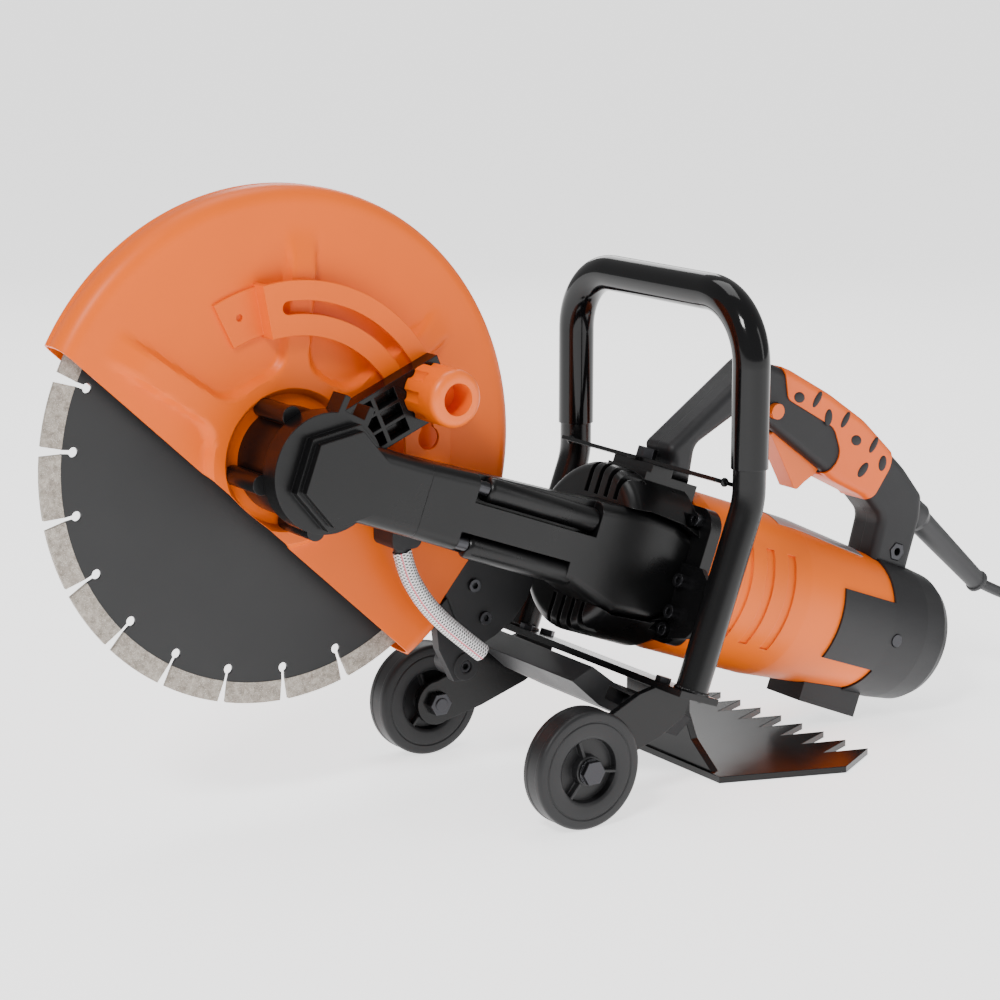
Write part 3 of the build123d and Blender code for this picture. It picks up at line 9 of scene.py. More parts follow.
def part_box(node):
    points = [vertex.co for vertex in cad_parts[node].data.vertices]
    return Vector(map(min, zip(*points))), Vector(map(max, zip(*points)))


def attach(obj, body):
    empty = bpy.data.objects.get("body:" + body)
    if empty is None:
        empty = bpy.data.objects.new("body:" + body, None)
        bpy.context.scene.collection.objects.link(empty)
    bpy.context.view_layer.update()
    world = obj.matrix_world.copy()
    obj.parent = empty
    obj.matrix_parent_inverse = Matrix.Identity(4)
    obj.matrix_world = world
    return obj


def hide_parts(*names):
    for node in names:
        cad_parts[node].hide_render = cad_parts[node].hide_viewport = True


# ---- frame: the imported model, and places in it, in millimetres from the blade's spindle ----

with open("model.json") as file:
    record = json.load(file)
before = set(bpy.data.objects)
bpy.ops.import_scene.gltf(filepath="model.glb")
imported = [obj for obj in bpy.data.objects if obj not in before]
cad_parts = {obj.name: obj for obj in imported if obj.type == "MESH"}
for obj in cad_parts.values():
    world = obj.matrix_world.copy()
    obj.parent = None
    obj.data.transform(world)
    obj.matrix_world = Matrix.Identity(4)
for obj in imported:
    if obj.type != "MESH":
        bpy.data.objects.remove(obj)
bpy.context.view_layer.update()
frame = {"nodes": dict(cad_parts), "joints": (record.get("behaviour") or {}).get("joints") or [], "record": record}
nodes = frame["nodes"]

segment_low, segment_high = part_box("blade_segments")
SPINDLE = (Vector(segment_low) + Vector(segment_high)) / 2
SPINDLE_HEIGHT = 260
MM = 0.001
tilt_axis = Vector(next(j for j in frame["joints"] if j["name"] == "rotor_spin")["axis"]).normalized()
up_axis = Vector((-tilt_axis.z, 0, tilt_axis.x))


def at(x, y, z):
    """Millimetres right of and above the spindle; y is the frame's own."""
    return Vector((SPINDLE.x + x * MM, y * MM, SPINDLE.z + z * MM))


def on_motor(u, w, y=0):
    """Millimetres along the motor's axis from the spindle, above it, and across."""
    place = SPINDLE + tilt_axis * (u * MM) + up_axis * (w * MM)
    return Vector((place.x, y * MM, place.z))


# ---- camera ----

CAMERA_LENS = 97.2
CAMERA_SENSOR = 36
CAMERA_PLACE = (-887.0, -1586.0, 371.6)
CAMERA_RIGHT = Vector((0.8344, -0.5512, 0))
CAMERA_UP = Vector((0.1177, 0.1781, 0.9769))
CAMERA_BACK = Vector((-0.5385, -0.8151, 0.2135))

camera_data = bpy.data.cameras.new("camera")
camera_data.lens = CAMERA_LENS
camera_data.sensor_width = CAMERA_SENSOR
camera = bpy.data.objects.new("camera", camera_data)
bpy.context.scene.collection.objects.link(camera)
turn = Matrix((CAMERA_RIGHT, CAMERA_UP, CAMERA_BACK)).transposed().to_4x4()
camera.matrix_world = Matrix.Translation(at(*CAMERA_PLACE)) @ turn
bpy.context.scene.camera = camera


# ---- pieces and meshes ----


def paint(piece, material):
    piece.data.materials.clear()
    piece.data.materials.append(material)


def add_piece(name, data, body, slot, *replaced, finish=None):
    """A visible piece that rides on a body, in the finish of its slot or in a finish of its own."""
    piece = bpy.data.objects.new(name, data)
    bpy.context.scene.collection.objects.link(piece)
    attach(piece, body)
    if replaced:
        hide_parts(*replaced)
    paint(piece, finishes[finish or slot])
    return piece


def spline_curve(name, points, radius, resolution=10):
    curve = bpy.data.curves.new(name, "CURVE")
    curve.dimensions = "3D"
    curve.bevel_depth = radius
    curve.bevel_resolution = 6
    curve.resolution_u = resolution
    curve.use_fill_caps = True
    spline = curve.splines.new("NURBS")
    spline.points.add(len(points) - 1)
    for target, point in zip(spline.points, points):
        target.co = (*point, 1.0)
    spline.order_u = 3
    spline.use_endpoint_u = True
    spline.resolution_u = resolution
    return curve


def curve_mesh(curve):
    """The mesh that Blender makes of a curve."""
    holder = bpy.data.objects.new("sampled", curve)
    mesh = bpy.data.meshes.new_from_object(holder)
    bpy.data.objects.remove(holder)
    return mesh


def curve_points(curve):
    return [vertex.co.copy() for vertex in curve_mesh(curve).vertices]


def edited(mesh, change):
    """The mesh after change(work) has worked on it."""
    work = bmesh.new()
    work.from_mesh(mesh)
    change(work)
    work.to_mesh(mesh)
    work.free()
    return mesh


def soften(mesh, degrees=32):
    """Smooth shading, with the edges sharper than the limit kept crisp."""
    limit = math.radians(degrees)

    def shade(work):
        bmesh.ops.recalc_face_normals(work, faces=work.faces)
        for face in work.faces:
            face.smooth = True
        for edge in work.edges:
            edge.smooth = len(edge.link_faces) == 2 and edge.calc_face_angle(0) < limit

    return edited(mesh, shade)


def grid_mesh(name, rows, wrap_rows=False, wrap_columns=False):
    """A mesh over rows of points, all of one length."""
    mesh = bpy.data.meshes.new(name)
    count, width = len(rows), len(rows[0])
    faces = []
    for i in range(count if wrap_rows else count - 1):
        for j in range(width if wrap_columns else width - 1):
            i2, j2 = (i + 1) % count, (j + 1) % width
            faces.append((i * width + j, i * width + j2, i2 * width + j2, i2 * width + j))
    mesh.from_pydata([tuple(point) for row in rows for point in row], [], faces)
    return mesh


def prism(name, outline, y_start, y_end):
    """A solid between two Y values over an outline of (x, z) from the spindle."""
    count = len(outline)
    points = [at(x, y, z) for y in (y_start, y_end) for x, z in outline]
    sides = [(i, (i + 1) % count, (i + 1) % count + count, i + count) for i in range(count)]
    ends = [tuple(range(count))[::-1], tuple(range(count, 2 * count))]
    mesh = bpy.data.meshes.new(name)
    mesh.from_pydata([tuple(point) for point in points], [], ends + sides)
    return soften(mesh)


def cut_mesh(mesh, cutters):
    """The mesh without the cutters' solids."""
    holder = bpy.data.objects.new("cut_holder", mesh)
    bpy.context.scene.collection.objects.link(holder)
    tools = []
    for index, cutter in enumerate(cutters):
        tool = bpy.data.objects.new(f"cutter{index}", cutter)
        bpy.context.scene.collection.objects.link(tool)
        step = holder.modifiers.new(f"cut{index}", "BOOLEAN")
        step.operation = "DIFFERENCE"
        step.solver = "EXACT"
        step.object = tool
        tools.append(tool)
    graph = bpy.context.evaluated_depsgraph_get()
    result = bpy.data.meshes.new_from_object(holder.evaluated_get(graph))
    for extra in [holder] + tools:
        bpy.data.objects.remove(extra)
    return result


def lathe(name, profile, centre, segments=96):
    """Turns (radius, y) points, a closed loop, about the Y line through the centre."""
    rows = []
    for step in range(segments):
        cosine, sine = math.cos(2 * math.pi * step / segments), math.sin(2 * math.pi * step / segments)
        rows.append([centre + Vector((r * cosine, y, r * sine)) * MM for r, y in profile])
    return grid_mesh(name, rows, True, True)


# ---- materials ----


def shader(name):
    material = bpy.data.materials.new(name)
    material.use_nodes = True
    tree = material.node_tree
    return material, tree, tree.nodes["Principled BSDF"]


def link(tree, output, target):
    tree.links.new(output, target)


def noise(tree, coordinates, scale, detail=3.0, rough=0.6):
    texture = tree.nodes.new("ShaderNodeTexNoise")
    texture.inputs["Scale"].default_value = scale
    texture.inputs["Detail"].default_value = detail
    texture.inputs["Roughness"].default_value = rough
    link(tree, coordinates, texture.inputs["Vector"])
    return texture.outputs["Fac"]


def spread(tree, value, low, high, start=0.3, end=0.7):
    ramp = tree.nodes.new("ShaderNodeMapRange")
    ramp.inputs["From Min"].default_value = start
    ramp.inputs["From Max"].default_value = end
    ramp.inputs["To Min"].default_value = low
    ramp.inputs["To Max"].default_value = high
    link(tree, value, ramp.inputs["Value"])
    return ramp.outputs["Result"]


def mixed_colour(tree, factor, first, second):
    """A mix of two colours; the first may be another node's output."""
    mix = tree.nodes.new("ShaderNodeMix")
    mix.data_type = "RGBA"
    link(tree, factor, mix.inputs[0])
    if isinstance(first, tuple):
        mix.inputs[6].default_value = (*first, 1)
    else:
        link(tree, first, mix.inputs[6])
    mix.inputs[7].default_value = (*second, 1)
    return mix.outputs[2]


def bevelled(tree, radius):
    node = tree.nodes.new("ShaderNodeBevel")
    node.samples = 6
    node.inputs["Radius"].default_value = radius
    return node.outputs["Normal"]


COAT_ROUGHNESS = 0.08
GRAIN_DEPTH = 0.0004


def relief(tree, height, strength, distance=GRAIN_DEPTH):
    bump = tree.nodes.new("ShaderNodeBump")
    bump.inputs["Strength"].default_value = strength
    bump.inputs["Distance"].default_value = distance
    link(tree, height, bump.inputs["Height"])
    return bump


def surface(name, colour, roughness, metallic=0.0, grain=(900, 0.05), cloud=(14, 0.12), edge=0.0009,
            specular=0.5, shade=0.82):
    """A solid finish: fine grain, broad drift in tone and gloss, and edges that catch the light.

    grain is the fine noise's scale and strength, cloud is the broad noise's scale and the spread
    of roughness over it, and shade is the darkest tone's share of the colour.
    """
    material, tree, principled = shader(name)
    coordinates = tree.nodes.new("ShaderNodeTexCoord").outputs["Object"]
    broad = noise(tree, coordinates, cloud[0])
    darker = tuple(c * shade for c in colour)
    tone = mixed_colour(tree, spread(tree, broad, 0, 1), darker, colour)
    link(tree, tone, principled.inputs["Base Color"])
    low = max(roughness - cloud[1] / 2, 0.02)
    link(tree, spread(tree, broad, low, roughness + cloud[1] / 2), principled.inputs["Roughness"])
    principled.inputs["Metallic"].default_value = metallic
    principled.inputs["Specular IOR Level"].default_value = specular
    bump = relief(tree, noise(tree, coordinates, grain[0], 2.0), grain[1])
    link(tree, bevelled(tree, edge), bump.inputs["Normal"])
    link(tree, bump.outputs["Normal"], principled.inputs["Normal"])
    return material


def segment_material():
    """Sintered metal with diamond grit: a warm grey with fine light and dark specks."""
    material, tree, principled = shader("segment_grit")
    coordinates = tree.nodes.new("ShaderNodeTexCoord").outputs["Object"]
    specks = tree.nodes.new("ShaderNodeTexVoronoi")
    specks.inputs["Scale"].default_value = 900
    link(tree, coordinates, specks.inputs["Vector"])
    broad = noise(tree, coordinates, 260, 6.0, 0.75)
    tone = mixed_colour(tree, spread(tree, broad, 0, 1, 0.35, 0.65), (0.20, 0.17, 0.14), (0.48, 0.43, 0.37))
    grit = spread(tree, specks.outputs["Distance"], 1, 0, 0.05, 0.30)
    link(tree, mixed_colour(tree, grit, tone, (0.75, 0.72, 0.66)), principled.inputs["Base Color"])
    principled.inputs["Metallic"].default_value = 0.35
    principled.inputs["Roughness"].default_value = 0.55
    link(tree, relief(tree, broad, 0.35).outputs["Normal"], principled.inputs["Normal"])
    return material


BRAID_GAP = (0.035, 0.033, 0.034)
BRAID_STRAND = (0.86, 0.83, 0.84)
TRACER_RED = (0.75, 0.10, 0.16)
BRAID_TURNS = 0.42
BRAID_STRANDS = 9.0
BRAID_THRESHOLD = 0.32
TRACER_PLACE = 0.60
TRACER_HALF_WIDTH = 0.012


def hose_material():
    """A white braid under clear plastic, wound both ways, with one red tracer along it."""
    material, tree, principled = shader("braided_hose")
    uv = tree.nodes.new("ShaderNodeUVMap")
    uv.uv_map = "along"
    parts = tree.nodes.new("ShaderNodeSeparateXYZ")
    link(tree, uv.outputs["UV"], parts.inputs[0])

    def maths(operation, first, second=0.0):
        node = tree.nodes.new("ShaderNodeMath")
        node.operation = operation
        for slot_index, value in enumerate((first, second)):
            if isinstance(value, (int, float)):
                node.inputs[slot_index].default_value = value
            else:
                link(tree, value, node.inputs[slot_index])
        return node.outputs[0]

    along = maths("MULTIPLY", parts.outputs[0], BRAID_TURNS)
    around = maths("MULTIPLY", parts.outputs[1], BRAID_STRANDS)
    strands = []
    for combined in (maths("ADD", along, around), maths("SUBTRACT", along, around)):
        wave = maths("ABSOLUTE", maths("SUBTRACT", maths("FRACT", combined), 0.5))
        strands.append(maths("GREATER_THAN", wave, BRAID_THRESHOLD))
    braid = maths("MAXIMUM", strands[0], strands[1])
    off_tracer = maths("ABSOLUTE", maths("SUBTRACT", parts.outputs[1], TRACER_PLACE))
    tracer = maths("LESS_THAN", off_tracer, TRACER_HALF_WIDTH)
    tone = mixed_colour(tree, braid, BRAID_GAP, BRAID_STRAND)
    link(tree, mixed_colour(tree, tracer, tone, TRACER_RED), principled.inputs["Base Color"])
    principled.inputs["Roughness"].default_value = 0.32
    principled.inputs["Coat Weight"].default_value = 0.8
    principled.inputs["Coat Roughness"].default_value = COAT_ROUGHNESS
    link(tree, relief(tree, braid, 0.3, 0.0003).outputs["Normal"], principled.inputs["Normal"])
    return material


GUARD_ORANGE = (0.86, 0.13, 0.0)
MOTOR_ORANGE = (0.93, 0.155, 0.0)
GRIP_ORANGE = (0.86, 0.125, 0.0)
KNOB_ORANGE = (0.88, 0.14, 0.0)
DEEP_BLACK = (0.004, 0.004, 0.0043)

finishes = {
    "guard_paint": surface(
        "guard_orange", GUARD_ORANGE, 0.40, grain=(700, 0.06), cloud=(9, 0.06), shade=0.93, specular=0.25),
    "black_steel": surface(
        "black_powder_coat", DEEP_BLACK, 0.24, grain=(420, 0.06), cloud=(20, 0.06), specular=0.3),
    "black_casting": surface(
        "black_casting", DEEP_BLACK, 0.30, grain=(520, 0.10), cloud=(24, 0.08), specular=0.3),
    "motor_plastic": surface(
        "motor_orange", MOTOR_ORANGE, 0.38, grain=(800, 0.05), cloud=(12, 0.05), shade=0.95, specular=0.3),
    "dark_plastic": surface(
        "dark_grained_plastic", (0.014, 0.014, 0.0155), 0.5, grain=(1500, 0.30), specular=0.35),
    "grip_rubber": surface(
        "grip_orange", GRIP_ORANGE, 0.45, grain=(1200, 0.12), cloud=(18, 0.06), shade=0.94),
    "orange_plastic": surface("knob_orange", KNOB_ORANGE, 0.36, grain=(900, 0.05), shade=0.94),
    "sleeve_rubber": surface(
        "sleeve_black", (0.003, 0.003, 0.0034), 0.10, grain=(300, 0.02), cloud=(20, 0.04), specular=0.3),
    "tyre": surface("wheel_black", (0.012, 0.012, 0.013), 0.45, grain=(700, 0.12), specular=0.35),
    "zinc_steel": surface("dark_zinc", (0.055, 0.055, 0.06), 0.28, metallic=0.9, grain=(900, 0.08)),
    "flange_steel": surface("turned_steel", (0.42, 0.42, 0.44), 0.3, metallic=1.0),
    "blade_steel": surface(
        "blade_charcoal", (0.012, 0.0122, 0.013), 0.5, metallic=0.1, grain=(1200, 0.18), cloud=(30, 0.08),
        edge=0.0004),
    "blade_segment": segment_material(),
    "pulley_alloy": surface("pulley_alloy", (0.6, 0.6, 0.62), 0.35, metallic=1.0),
    "lamination_steel": surface("laminated_steel", (0.3, 0.3, 0.32), 0.4, metallic=1.0),
    "copper": surface("commutator_copper", (0.72, 0.36, 0.2), 0.3, metallic=1.0),
    "carbon": surface("carbon", (0.03, 0.03, 0.03), 0.6),
    "inner_plastic": surface("inner_plastic", (0.05, 0.05, 0.055), 0.5),
    "belt_rubber": surface("belt_rubber", (0.02, 0.02, 0.02), 0.7),
    "clear_hose": surface("hose_clear", (0.75, 0.73, 0.72), 0.25),
    "cord_rubber": surface("cord_rubber", (0.03, 0.03, 0.032), 0.5, grain=(900, 0.15)),
    "plug_metal": surface("plug_nickel", (0.75, 0.74, 0.72), 0.2, metallic=1.0),
    "strip_silver": surface("strip_silver", (0.55, 0.56, 0.58), 0.35, metallic=0.8, grain=(500, 0.03)),
    "braided_hose": hose_material(),
}

slot_of = {row["node"]: row["material_slot"] for row in frame["record"]["subparts"]}
for name, piece in nodes.items():
    paint(piece, finishes[slot_of[name]])

# ---- mains cord: the route to the floor, the stored coil and the tail into the plug ----

CORD_RADIUS = 4.5
ROUTE_TO_FLOOR = (
    (632, 0, -169), (653, 0, -180), (677, 0, -189), (695, 0, -204.5), (710, -0.5, -225.5), (729, -2, -243.5),
)
TAIL_TO_PLUG = ((796.3, -81, -245), (801.5, -102, -241))
COIL_CENTRE = (730, -70)
COIL_OUTER = 63.0
COIL_INNER = 34.9
COIL_START = 65
COIL_SWEEP = 55 + 360 * 6
COIL_STEP = 20
FLOOR_Z = CORD_RADIUS - SPINDLE_HEIGHT
LAYER_Z = FLOOR_Z + 2 * CORD_RADIUS + 0.1
CLIMB_START, CLIMB_RUN = 0.46, 0.08


def coil_places():
    """The coil winds inward on the floor, climbs a layer at the middle, and winds outward on top."""
    places = []
    steps = int(COIL_SWEEP / COIL_STEP)
    for index in range(steps + 1):
        swept = index * COIL_SWEEP / steps
        share = swept / COIL_SWEEP
        inward = 1 - abs(2 * share - 1)
        radius = COIL_OUTER - (COIL_OUTER - COIL_INNER) * inward
        climb = min(max((share - CLIMB_START) / CLIMB_RUN, 0), 1)
        swing = math.radians(COIL_START - swept)
        places.append(at(
            COIL_CENTRE[0] + radius * math.cos(swing), COIL_CENTRE[1] + radius * math.sin(swing),
            FLOOR_Z + (LAYER_Z - FLOOR_Z) * climb,
        ))
    return places


route = [at(*place) for place in ROUTE_TO_FLOOR] + coil_places() + [at(*place) for place in TAIL_TO_PLUG]
cord_path = curve_points(spline_curve("cord_path", route, 0))
cord_tube = curve_mesh(spline_curve("cord_tube", route, CORD_RADIUS * MM))
cord = add_piece("mains_cord_run", cord_tube, "saw_frame", "cord_rubber", "mains_cord", "cord_coil")
for face in cord.data.polygons:
    face.use_smooth = True

# ---- guard: pressed sheet with a hub plateau, three raised arms and a rounded rim, cut along a chord ----

GUARD_RADIUS = (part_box("guard_far_shell")[1][2] - SPINDLE.z) / MM
SHEET = 2.0
RIM_ROUND = 12.0
RIM_MARGIN = 3
RIM_STEPS = 8
FLAT_STEPS = 66
SEAM_INSET = 0.8
SEAM_CHAMFER = 1.2
GUARD_COLUMNS = 360
HUB_PLATEAU = 62
# radius where the hub's rise and the arms' fade begin, and how far each takes
HUB_START, HUB_RUN = 45, 5
FADE_START, FADE_RUN = 128, 34
ARM_ANGLES = (145, 84, 33)
ARM_HALF_WIDTH = 10.5
ARM_BLEND = 16
ARM_WALL = 5
ARM_RISE = 6.5
CHORD_OFFSET = 46.0
CHORD_ANGLE = math.radians(47.1)
CUT_REACH = 260
# what the shells leave free for the corner block, as (x, z) from the spindle
CORNER = [
    (151, -91), (130, -116), (121, -127), (125, -155), (100, -168), (150, -230), (260, -150), (240, -80),
]
# piece, the node it replaces, its face's y, its seam's y, its hub hole's radius, and whether it has arms
GUARD_SHELLS = (
    ("guard_near_pressing", "guard_near_shell", 26.0, 46.4, 30.4, True),
    ("guard_far_pressing", "guard_far_shell", 58.0, 46.8, 48.0, False),
)


def smooth_step(value):
    value = min(max(value, 0), 1)
    return value * value * (3 - 2 * value)


def smooth_min(first, second, width):
    share = min(max(0.5 + 0.5 * (second - first) / width, 0), 1)
    return second + (first - second) * share - width * share * (1 - share)


def pressed_rise(x, z):
    """How far the near face stands out: a plateau round the hub and arms that fade towards the rim."""
    radius = math.hypot(x, z)
    outside = radius - HUB_PLATEAU
    for degrees in ARM_ANGLES:
        cosine, sine = math.cos(math.radians(degrees)), math.sin(math.radians(degrees))
        if x * cosine + z * sine > 0:
            outside = smooth_min(outside, abs(z * cosine - x * sine) - ARM_HALF_WIDTH, ARM_BLEND)
    shape = smooth_step(0.5 - outside / ARM_WALL)
    fade = 1 - smooth_step((radius - FADE_START) / FADE_RUN)
    inner = smooth_step((radius - HUB_START) / HUB_RUN)
    return ARM_RISE * shape * fade * inner


def guard_profile(face_y, seam_y, inner_radius):
    """(radius, y, inward normal) along the sheet from the hub hole over the rim to the seam."""
    side = 1 if seam_y > face_y else -1
    rim = min(RIM_ROUND, abs(seam_y - face_y) - RIM_MARGIN)
    flat_end = GUARD_RADIUS - rim
    profile = [
        (inner_radius + (flat_end - inner_radius) * i / FLAT_STEPS, face_y, (0, side))
        for i in range(FLAT_STEPS + 1)
    ]
    for i in range(1, RIM_STEPS):
        swing = math.pi / 2 * i / RIM_STEPS
        profile.append((
            flat_end + rim * math.sin(swing), face_y + side * rim * (1 - math.cos(swing)),
            (-math.sin(swing), side * math.cos(swing)),
        ))
    profile.append((GUARD_RADIUS, face_y + side * rim, (-1, 0)))
    profile.append((GUARD_RADIUS, seam_y - side * SEAM_CHAMFER, (-1, 0)))
    profile.append((GUARD_RADIUS - SEAM_INSET, seam_y, (-1, 0)))
    return profile


def guard_shell(name, face_y, seam_y, inner_radius, ribbed):
    """The profile turned about the spindle, less what is past the chord and the corner block."""
    profile = guard_profile(face_y, seam_y, inner_radius)
    loop = [(r, y) for r, y, _ in profile]
    loop += [(r + inward[0] * SHEET, y + inward[1] * SHEET) for r, y, inward in profile[::-1]]
    rows = []
    for step in range(GUARD_COLUMNS):
        swing = 2 * math.pi * step / GUARD_COLUMNS
        row = []
        for radius, y in loop:
            x, z = radius * math.cos(swing), radius * math.sin(swing)
            row.append(at(x, y - (pressed_rise(x, z) if ribbed else 0), z))
        rows.append(row)
    mesh = soften(grid_mesh(name, rows, True, True))
    normal = (math.cos(CHORD_ANGLE), math.sin(CHORD_ANGLE))
    along = (-normal[1], normal[0])
    chord = [
        (-d * normal[0] + s * along[0], -d * normal[1] + s * along[1])
        for d, s in (
            (CHORD_OFFSET, -CUT_REACH), (CHORD_OFFSET, CUT_REACH),
            (CUT_REACH, CUT_REACH), (CUT_REACH, -CUT_REACH),
        )
    ]
    result = cut_mesh(mesh, [prism("chord", chord, 10, 75), prism("corner", CORNER, 11, 74)])
    return soften(result, 34)


for name, sheet_node, face_y, seam_y, hub_radius, ribbed in GUARD_SHELLS:
    shell = guard_shell(name, face_y, seam_y, hub_radius, ribbed)
    add_piece(name, shell, "guard", "guard_paint", sheet_node)

# ---- wheels: a moulded tyre and hub with three webs ----

WHEEL_HALF = 10.75
TREAD_RADIUS = 43
TREAD_CORNER = 2.8
WEB_ANGLES = (10, 130, 250)
WEB_CENTRE = 17
WEB_SIZE = (12.6, 2 * (WHEEL_HALF - 1.2), 2.0)


def wheel_mesh(name, centre):
    """Half the rim's section, from the bore over one side to the tread, and its mirror image."""
    half = WHEEL_HALF
    section = [
        (5.1, -half + 0.4), (5.5, -half), (10.4, -half), (11, -half + 0.6), (11.4, -4), (22.6, -4),
        (23.3, -half + 1.4), (24.6, -half + 0.4), (26, -half), (34.4, -half), (34.8, -half + 0.5),
        (35.6, -half + 0.5), (36, -half),
    ]
    for i in range(6):
        swing = math.radians(-90 + 18 * i)
        section.append((
            TREAD_RADIUS - TREAD_CORNER + TREAD_CORNER * math.cos(swing),
            -half + TREAD_CORNER + TREAD_CORNER * math.sin(swing),
        ))
    section += [(TREAD_RADIUS, -5.2), (TREAD_RADIUS - 0.3, -5.0)]
    mesh = lathe(name, section + [(r, -y) for r, y in section[::-1]], centre)

    def add_webs(work):
        size = Matrix.Diagonal((*(side * MM for side in WEB_SIZE), 1))
        for degrees in WEB_ANGLES:
            turned = Matrix.Rotation(math.radians(degrees), 4, "Y")
            place = Matrix.Translation(centre) @ turned @ Matrix.Translation((WEB_CENTRE * MM, 0, 0))
            bmesh.ops.create_cube(work, size=1.0, matrix=place @ size)

    return soften(edited(mesh, add_webs))


for side_name in ("near", "far"):
    low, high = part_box(f"{side_name}_wheel")
    name = f"{side_name}_wheel_moulding"
    moulding = wheel_mesh(name, (Vector(low) + Vector(high)) / 2)
    add_piece(name, moulding, f"{side_name}_wheel_set", "tyre", f"{side_name}_wheel")

# ---- water hose: a clear tube with a white braid and one coloured tracer ----

HOSE_ROUTE = [(81, -72), (84.5, -86), (91, -99), (101, -114), (115, -129), (131, -143), (148, -157)]
HOSE_Y = 5.5
HOSE_RADIUS = 6.9
HOSE_BORE = 4.6


def hose_mesh(name, points, outer, bore, sides=40):
    """A thick-walled tube; its UV runs in millimetres along and in turns around."""
    lengths = [0.0]
    for first, second in zip(points, points[1:]):
        lengths.append(lengths[-1] + (second - first).length / MM)
    last = len(points) - 1
    stations = [(0, bore)] + [(i, outer) for i in range(last + 1)] + [(i, bore) for i in range(last, 0, -1)]
    across = Vector((0, 1, 0))
    rows = []
    for index, radius in stations:
        ahead = points[min(index + 1, last)] - points[max(index - 1, 0)]
        normal = ahead.normalized().cross(across).normalized()
        rows.append([
            points[index] + (across * math.cos(a) + normal * math.sin(a)) * (radius * MM)
            for a in (2 * math.pi * k / sides for k in range(sides))
        ])
    mesh = grid_mesh(name, rows, True, True)
    marks = []
    for i in range(len(stations)):
        start, end = lengths[stations[i][0]], lengths[stations[(i + 1) % len(stations)][0]]
        for j in range(sides):
            left, right = j / sides, (j + 1) / sides
            marks += [(start, left), (start, right), (end, right), (end, left)]
    layer = mesh.uv_layers.new(name="along")
    for entry, mark in zip(layer.data, marks):
        entry.uv = mark
    return soften(mesh, 50)


hose_line = curve_points(spline_curve("hose_line", [at(x, HOSE_Y, z) for x, z in HOSE_ROUTE], 0, 8))
hose_tube = hose_mesh("braided_hose", hose_line, HOSE_RADIUS, HOSE_BORE)
add_piece("braided_hose", hose_tube, "guard", "clear_hose", "water_hose", finish="braided_hose")

# ---- grip: raised dark ovals on both sides of the soft skin ----

# place along and above the motor's axis, long half, short half, slant in degrees
OVALS = (
    (392.7, 154.2, 5.4, 4.1, 0), (410.6, 157.3, 7.0, 2.9, 75), (426.8, 146.9, 6.6, 3.8, 105),
    (444.2, 149.6, 7.0, 2.9, 75), (461.1, 137.2, 5.4, 4.0, 0), (480.0, 138.2, 7.0, 2.9, 75),
    (476.8, 117.1, 6.9, 3.7, 65), (494.5, 126.8, 6.2, 4.0, 100),
)
OVAL_RISE = 0.9
RAY_START = 60


def grip_ovals(name):
    """Flat ellipsoids laid on the grip's skin where a ray from each side meets it."""
    grip = nodes["grip_overmould"]

    def add_ovals(work):
        for side in (-1, 1):
            for u, w, long_half, short_half, slant in OVALS:
                start = on_motor(u, w, side * RAY_START)
                _, place, normal, _ = grip.ray_cast(start, Vector((0, -side, 0)))
                swing = math.radians(slant)
                long_way = tilt_axis * math.cos(swing) + up_axis * math.sin(swing)
                long_way = (long_way - normal * long_way.dot(normal)).normalized()
                turned = Matrix((long_way, normal.cross(long_way), normal)).transposed().to_4x4()
                size = Matrix.Diagonal((long_half * MM, short_half * MM, OVAL_RISE * MM, 1))
                laid = Matrix.Translation(place) @ turned @ size
                bmesh.ops.create_uvsphere(work, u_segments=28, v_segments=12, radius=1.0, matrix=laid)

    return soften(edited(bpy.data.meshes.new(name), add_ovals), 60)


add_piece("grip_ovals", grip_ovals("grip_ovals"), "saw_frame", "dark_plastic")

# ---- arm: the two long screw channels stand out of the troughs as rounded barrels ----

BARREL_RADIUS = 9.0
BARREL_TIP = 4.0
BARREL_Y = -39.6
TIP_STEPS = 5
# piece, start and end along the motor's axis, height above it
SCREW_CHANNELS = (("upper_screw_channel", 122.5, 223.0, 20.0), ("lower_screw_channel", 118.5, 214.0, -22.0))


def barrel(name, start, end, w, segments=48):
    """A barrel along the motor's axis with rounded ends."""
    neck = BARREL_RADIUS - BARREL_TIP
    swings = [math.pi / 2 * k / TIP_STEPS for k in range(TIP_STEPS + 1)]
    profile = [(start, 0.0)]
    profile += [(start + BARREL_TIP * (1 - math.cos(a)), neck + BARREL_TIP * math.sin(a)) for a in swings]
    profile += [(end - BARREL_TIP * (1 - math.sin(a)), neck + BARREL_TIP * math.cos(a)) for a in swings]
    profile += [(end, 0.0)]
    rows = []
    for u, r in profile:
        ring = (2 * math.pi * k / segments for k in range(segments))
        rows.append([on_motor(u, w + r * math.sin(a), BARREL_Y + r * math.cos(a)) for a in ring])

    def weld(work):
        bmesh.ops.remove_doubles(work, verts=work.verts, dist=1e-6)

    return soften(edited(grid_mesh(name, rows, False, True), weld), 40)


for name, start, end, w in SCREW_CHANNELS:
    add_piece(name, barrel(name, start, end, w), "saw_frame", "black_casting")

# ---- frame: weld beads where the strap and the crossbar meet the tubes ----

TUBE_RADIUS = 12.0
LEG_FOOT = (299, -76.2)


def bead(work, centre, ring_radius, thickness, normal, lumps):
    """A ring of overlapping drops, like a hand-laid weld."""
    sideways = normal.orthogonal().normalized()
    other = normal.cross(sideways)
    for index in range(lumps):
        swing = 2 * math.pi * index / lumps
        swell = 1 + 0.16 * math.sin(index * 2.4)
        place = centre + (sideways * math.cos(swing) + other * math.sin(swing)) * (ring_radius * MM)
        size = Matrix.Diagonal((thickness * swell * MM, thickness * swell * MM, thickness * MM, 1))
        laid = Matrix.Translation(place) @ size
        bmesh.ops.create_uvsphere(work, u_segments=10, v_segments=7, radius=1.0, matrix=laid)


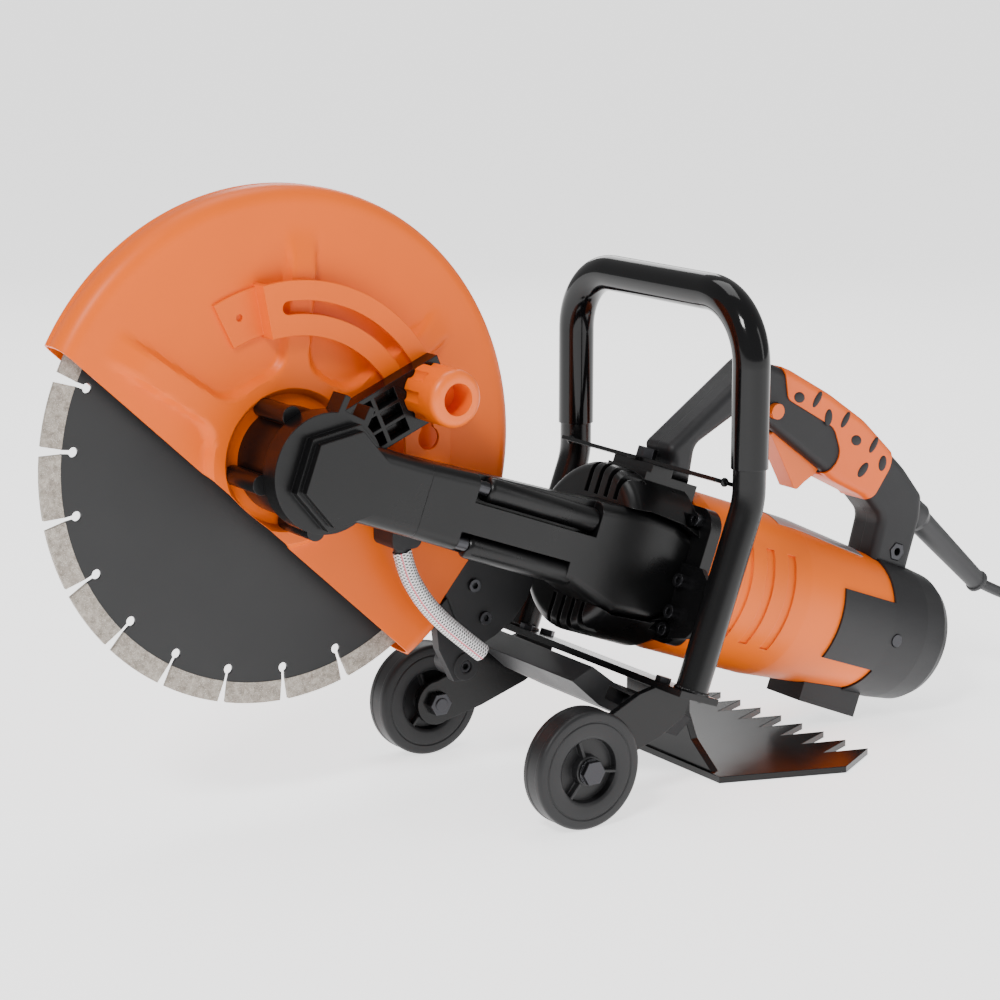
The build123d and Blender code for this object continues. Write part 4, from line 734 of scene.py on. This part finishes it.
def add_welds(work):
    strap_low, strap_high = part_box("handle_strap")
    strap_x, strap_z = ((strap_low[i] + strap_high[i]) / 2 for i in (0, 2))
    leg_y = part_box("handle_tube")[1][1] / MM - TUBE_RADIUS
    for side in (-1, 1):
        bead(work, Vector((strap_x, side * strap_high[1], strap_z)), 1.6, 1.9, Vector((0, 1, 0)), 9)
        bead(work, on_motor(*LEG_FOOT, side * leg_y), TUBE_RADIUS - 0.4, 1.5, up_axis, 38)


weld_mesh = soften(edited(bpy.data.meshes.new("weld_beads"), add_welds), 60)
add_piece("weld_beads", weld_mesh, "saw_frame", "black_steel")

# ---- motor: a blank silver strip laid over the shoulder of the housing ----

MOTOR_RADIUS = 62.5
TAPER_START = 425
TAPER_SLOPE = 7.5 / 97
STRIP_ALONG = (404, 500)
STRIP_ANGLES = (66, 104)
STRIP_LIFT = 0.15
STRIP_THICKNESS = 0.4
STRIP_ROWS = 12
STRIP_COLUMNS = 40


def motor_strip(name):
    """A thin shell on the tapering motor, between two angles up from the near side."""
    low, high = STRIP_ANGLES
    angles = [math.radians(low + (high - low) * k / STRIP_COLUMNS) for k in range(STRIP_COLUMNS + 1)]
    rows = []
    for i in range(STRIP_ROWS + 1):
        u = STRIP_ALONG[0] + (STRIP_ALONG[1] - STRIP_ALONG[0]) * i / STRIP_ROWS
        inner = MOTOR_RADIUS - max(u - TAPER_START, 0) * TAPER_SLOPE + STRIP_LIFT
        outer = inner + STRIP_THICKNESS
        rows.append(
            [on_motor(u, inner * math.sin(a), -inner * math.cos(a)) for a in angles]
            + [on_motor(u, outer * math.sin(a), -outer * math.cos(a)) for a in angles[::-1]]
        )
    width = len(rows[0])

    def close_ends(work):
        work.verts.ensure_lookup_table()
        for first in (0, STRIP_ROWS * width):
            work.faces.new([work.verts[first + k] for k in range(width)])

    return soften(edited(grid_mesh(name, rows, False, True), close_ends), 40)


strip_mesh = motor_strip("motor_blank_strip")
add_piece("motor_blank_strip", strip_mesh, "saw_frame", "zinc_steel", finish="strip_silver")

# ---- floor and light ----

FLOOR_SIZE = 160
FLOOR_DROP = 0.0002
FLOOR_WHITE = (0.94, 0.94, 0.94, 1)
FLOOR_GLOW = 1.5
WORLD_STRENGTH = 0.45
WHITE = (1, 1, 1, 1)
# name, place, target, width, height, watts
LIGHTS = (
    ("key", (-1.9, -1.3, 2.3), (0, 0, 0.25), 0.6, 0.6, 62),
    ("fill", (1.9, -2.2, 1.2), (0.1, 0, 0.2), 0.5, 1.8, 9),
    ("top", (0.2, 0.4, 2.2), (0, 0, 0.2), 1.2, 1.2, 16),
    ("rim", (1.2, 2.0, 1.3), (0, 0, 0.2), 1.0, 1.0, 12),
)

half = FLOOR_SIZE / 2
floor_mesh = bpy.data.meshes.new("floor")
floor_corners = [(-half, -half, 0), (half, -half, 0), (half, half, 0), (-half, half, 0)]
floor_mesh.from_pydata(floor_corners, [], [(0, 1, 2, 3)])
floor = bpy.data.objects.new("floor", floor_mesh)
bpy.context.scene.collection.objects.link(floor)
floor.location = (0, 0, -FLOOR_DROP)
floor_material, _, floor_shader = shader("floor_white")
floor_shader.inputs["Base Color"].default_value = FLOOR_WHITE
floor_shader.inputs["Emission Color"].default_value = WHITE
floor_shader.inputs["Emission Strength"].default_value = FLOOR_GLOW
floor_shader.inputs["Roughness"].default_value = 0.6
floor_shader.inputs["Specular IOR Level"].default_value = 0.25
paint(floor, floor_material)

world = bpy.data.worlds.new("studio")
world.use_nodes = True
world.node_tree.nodes["Background"].inputs["Color"].default_value = WHITE
world.node_tree.nodes["Background"].inputs["Strength"].default_value = WORLD_STRENGTH
bpy.context.scene.world = world

for name, place, target, width, height, watts in LIGHTS:
    data = bpy.data.lights.new(name, "AREA")
    data.shape = "RECTANGLE"
    data.size = width
    data.size_y = height
    data.energy = watts
    lamp = bpy.data.objects.new(name, data)
    bpy.context.scene.collection.objects.link(lamp)
    lamp.location = place
    lamp.rotation_euler = (Vector(target) - Vector(place)).to_track_quat("-Z", "Y").to_euler()

bpy.context.view_layer.update()
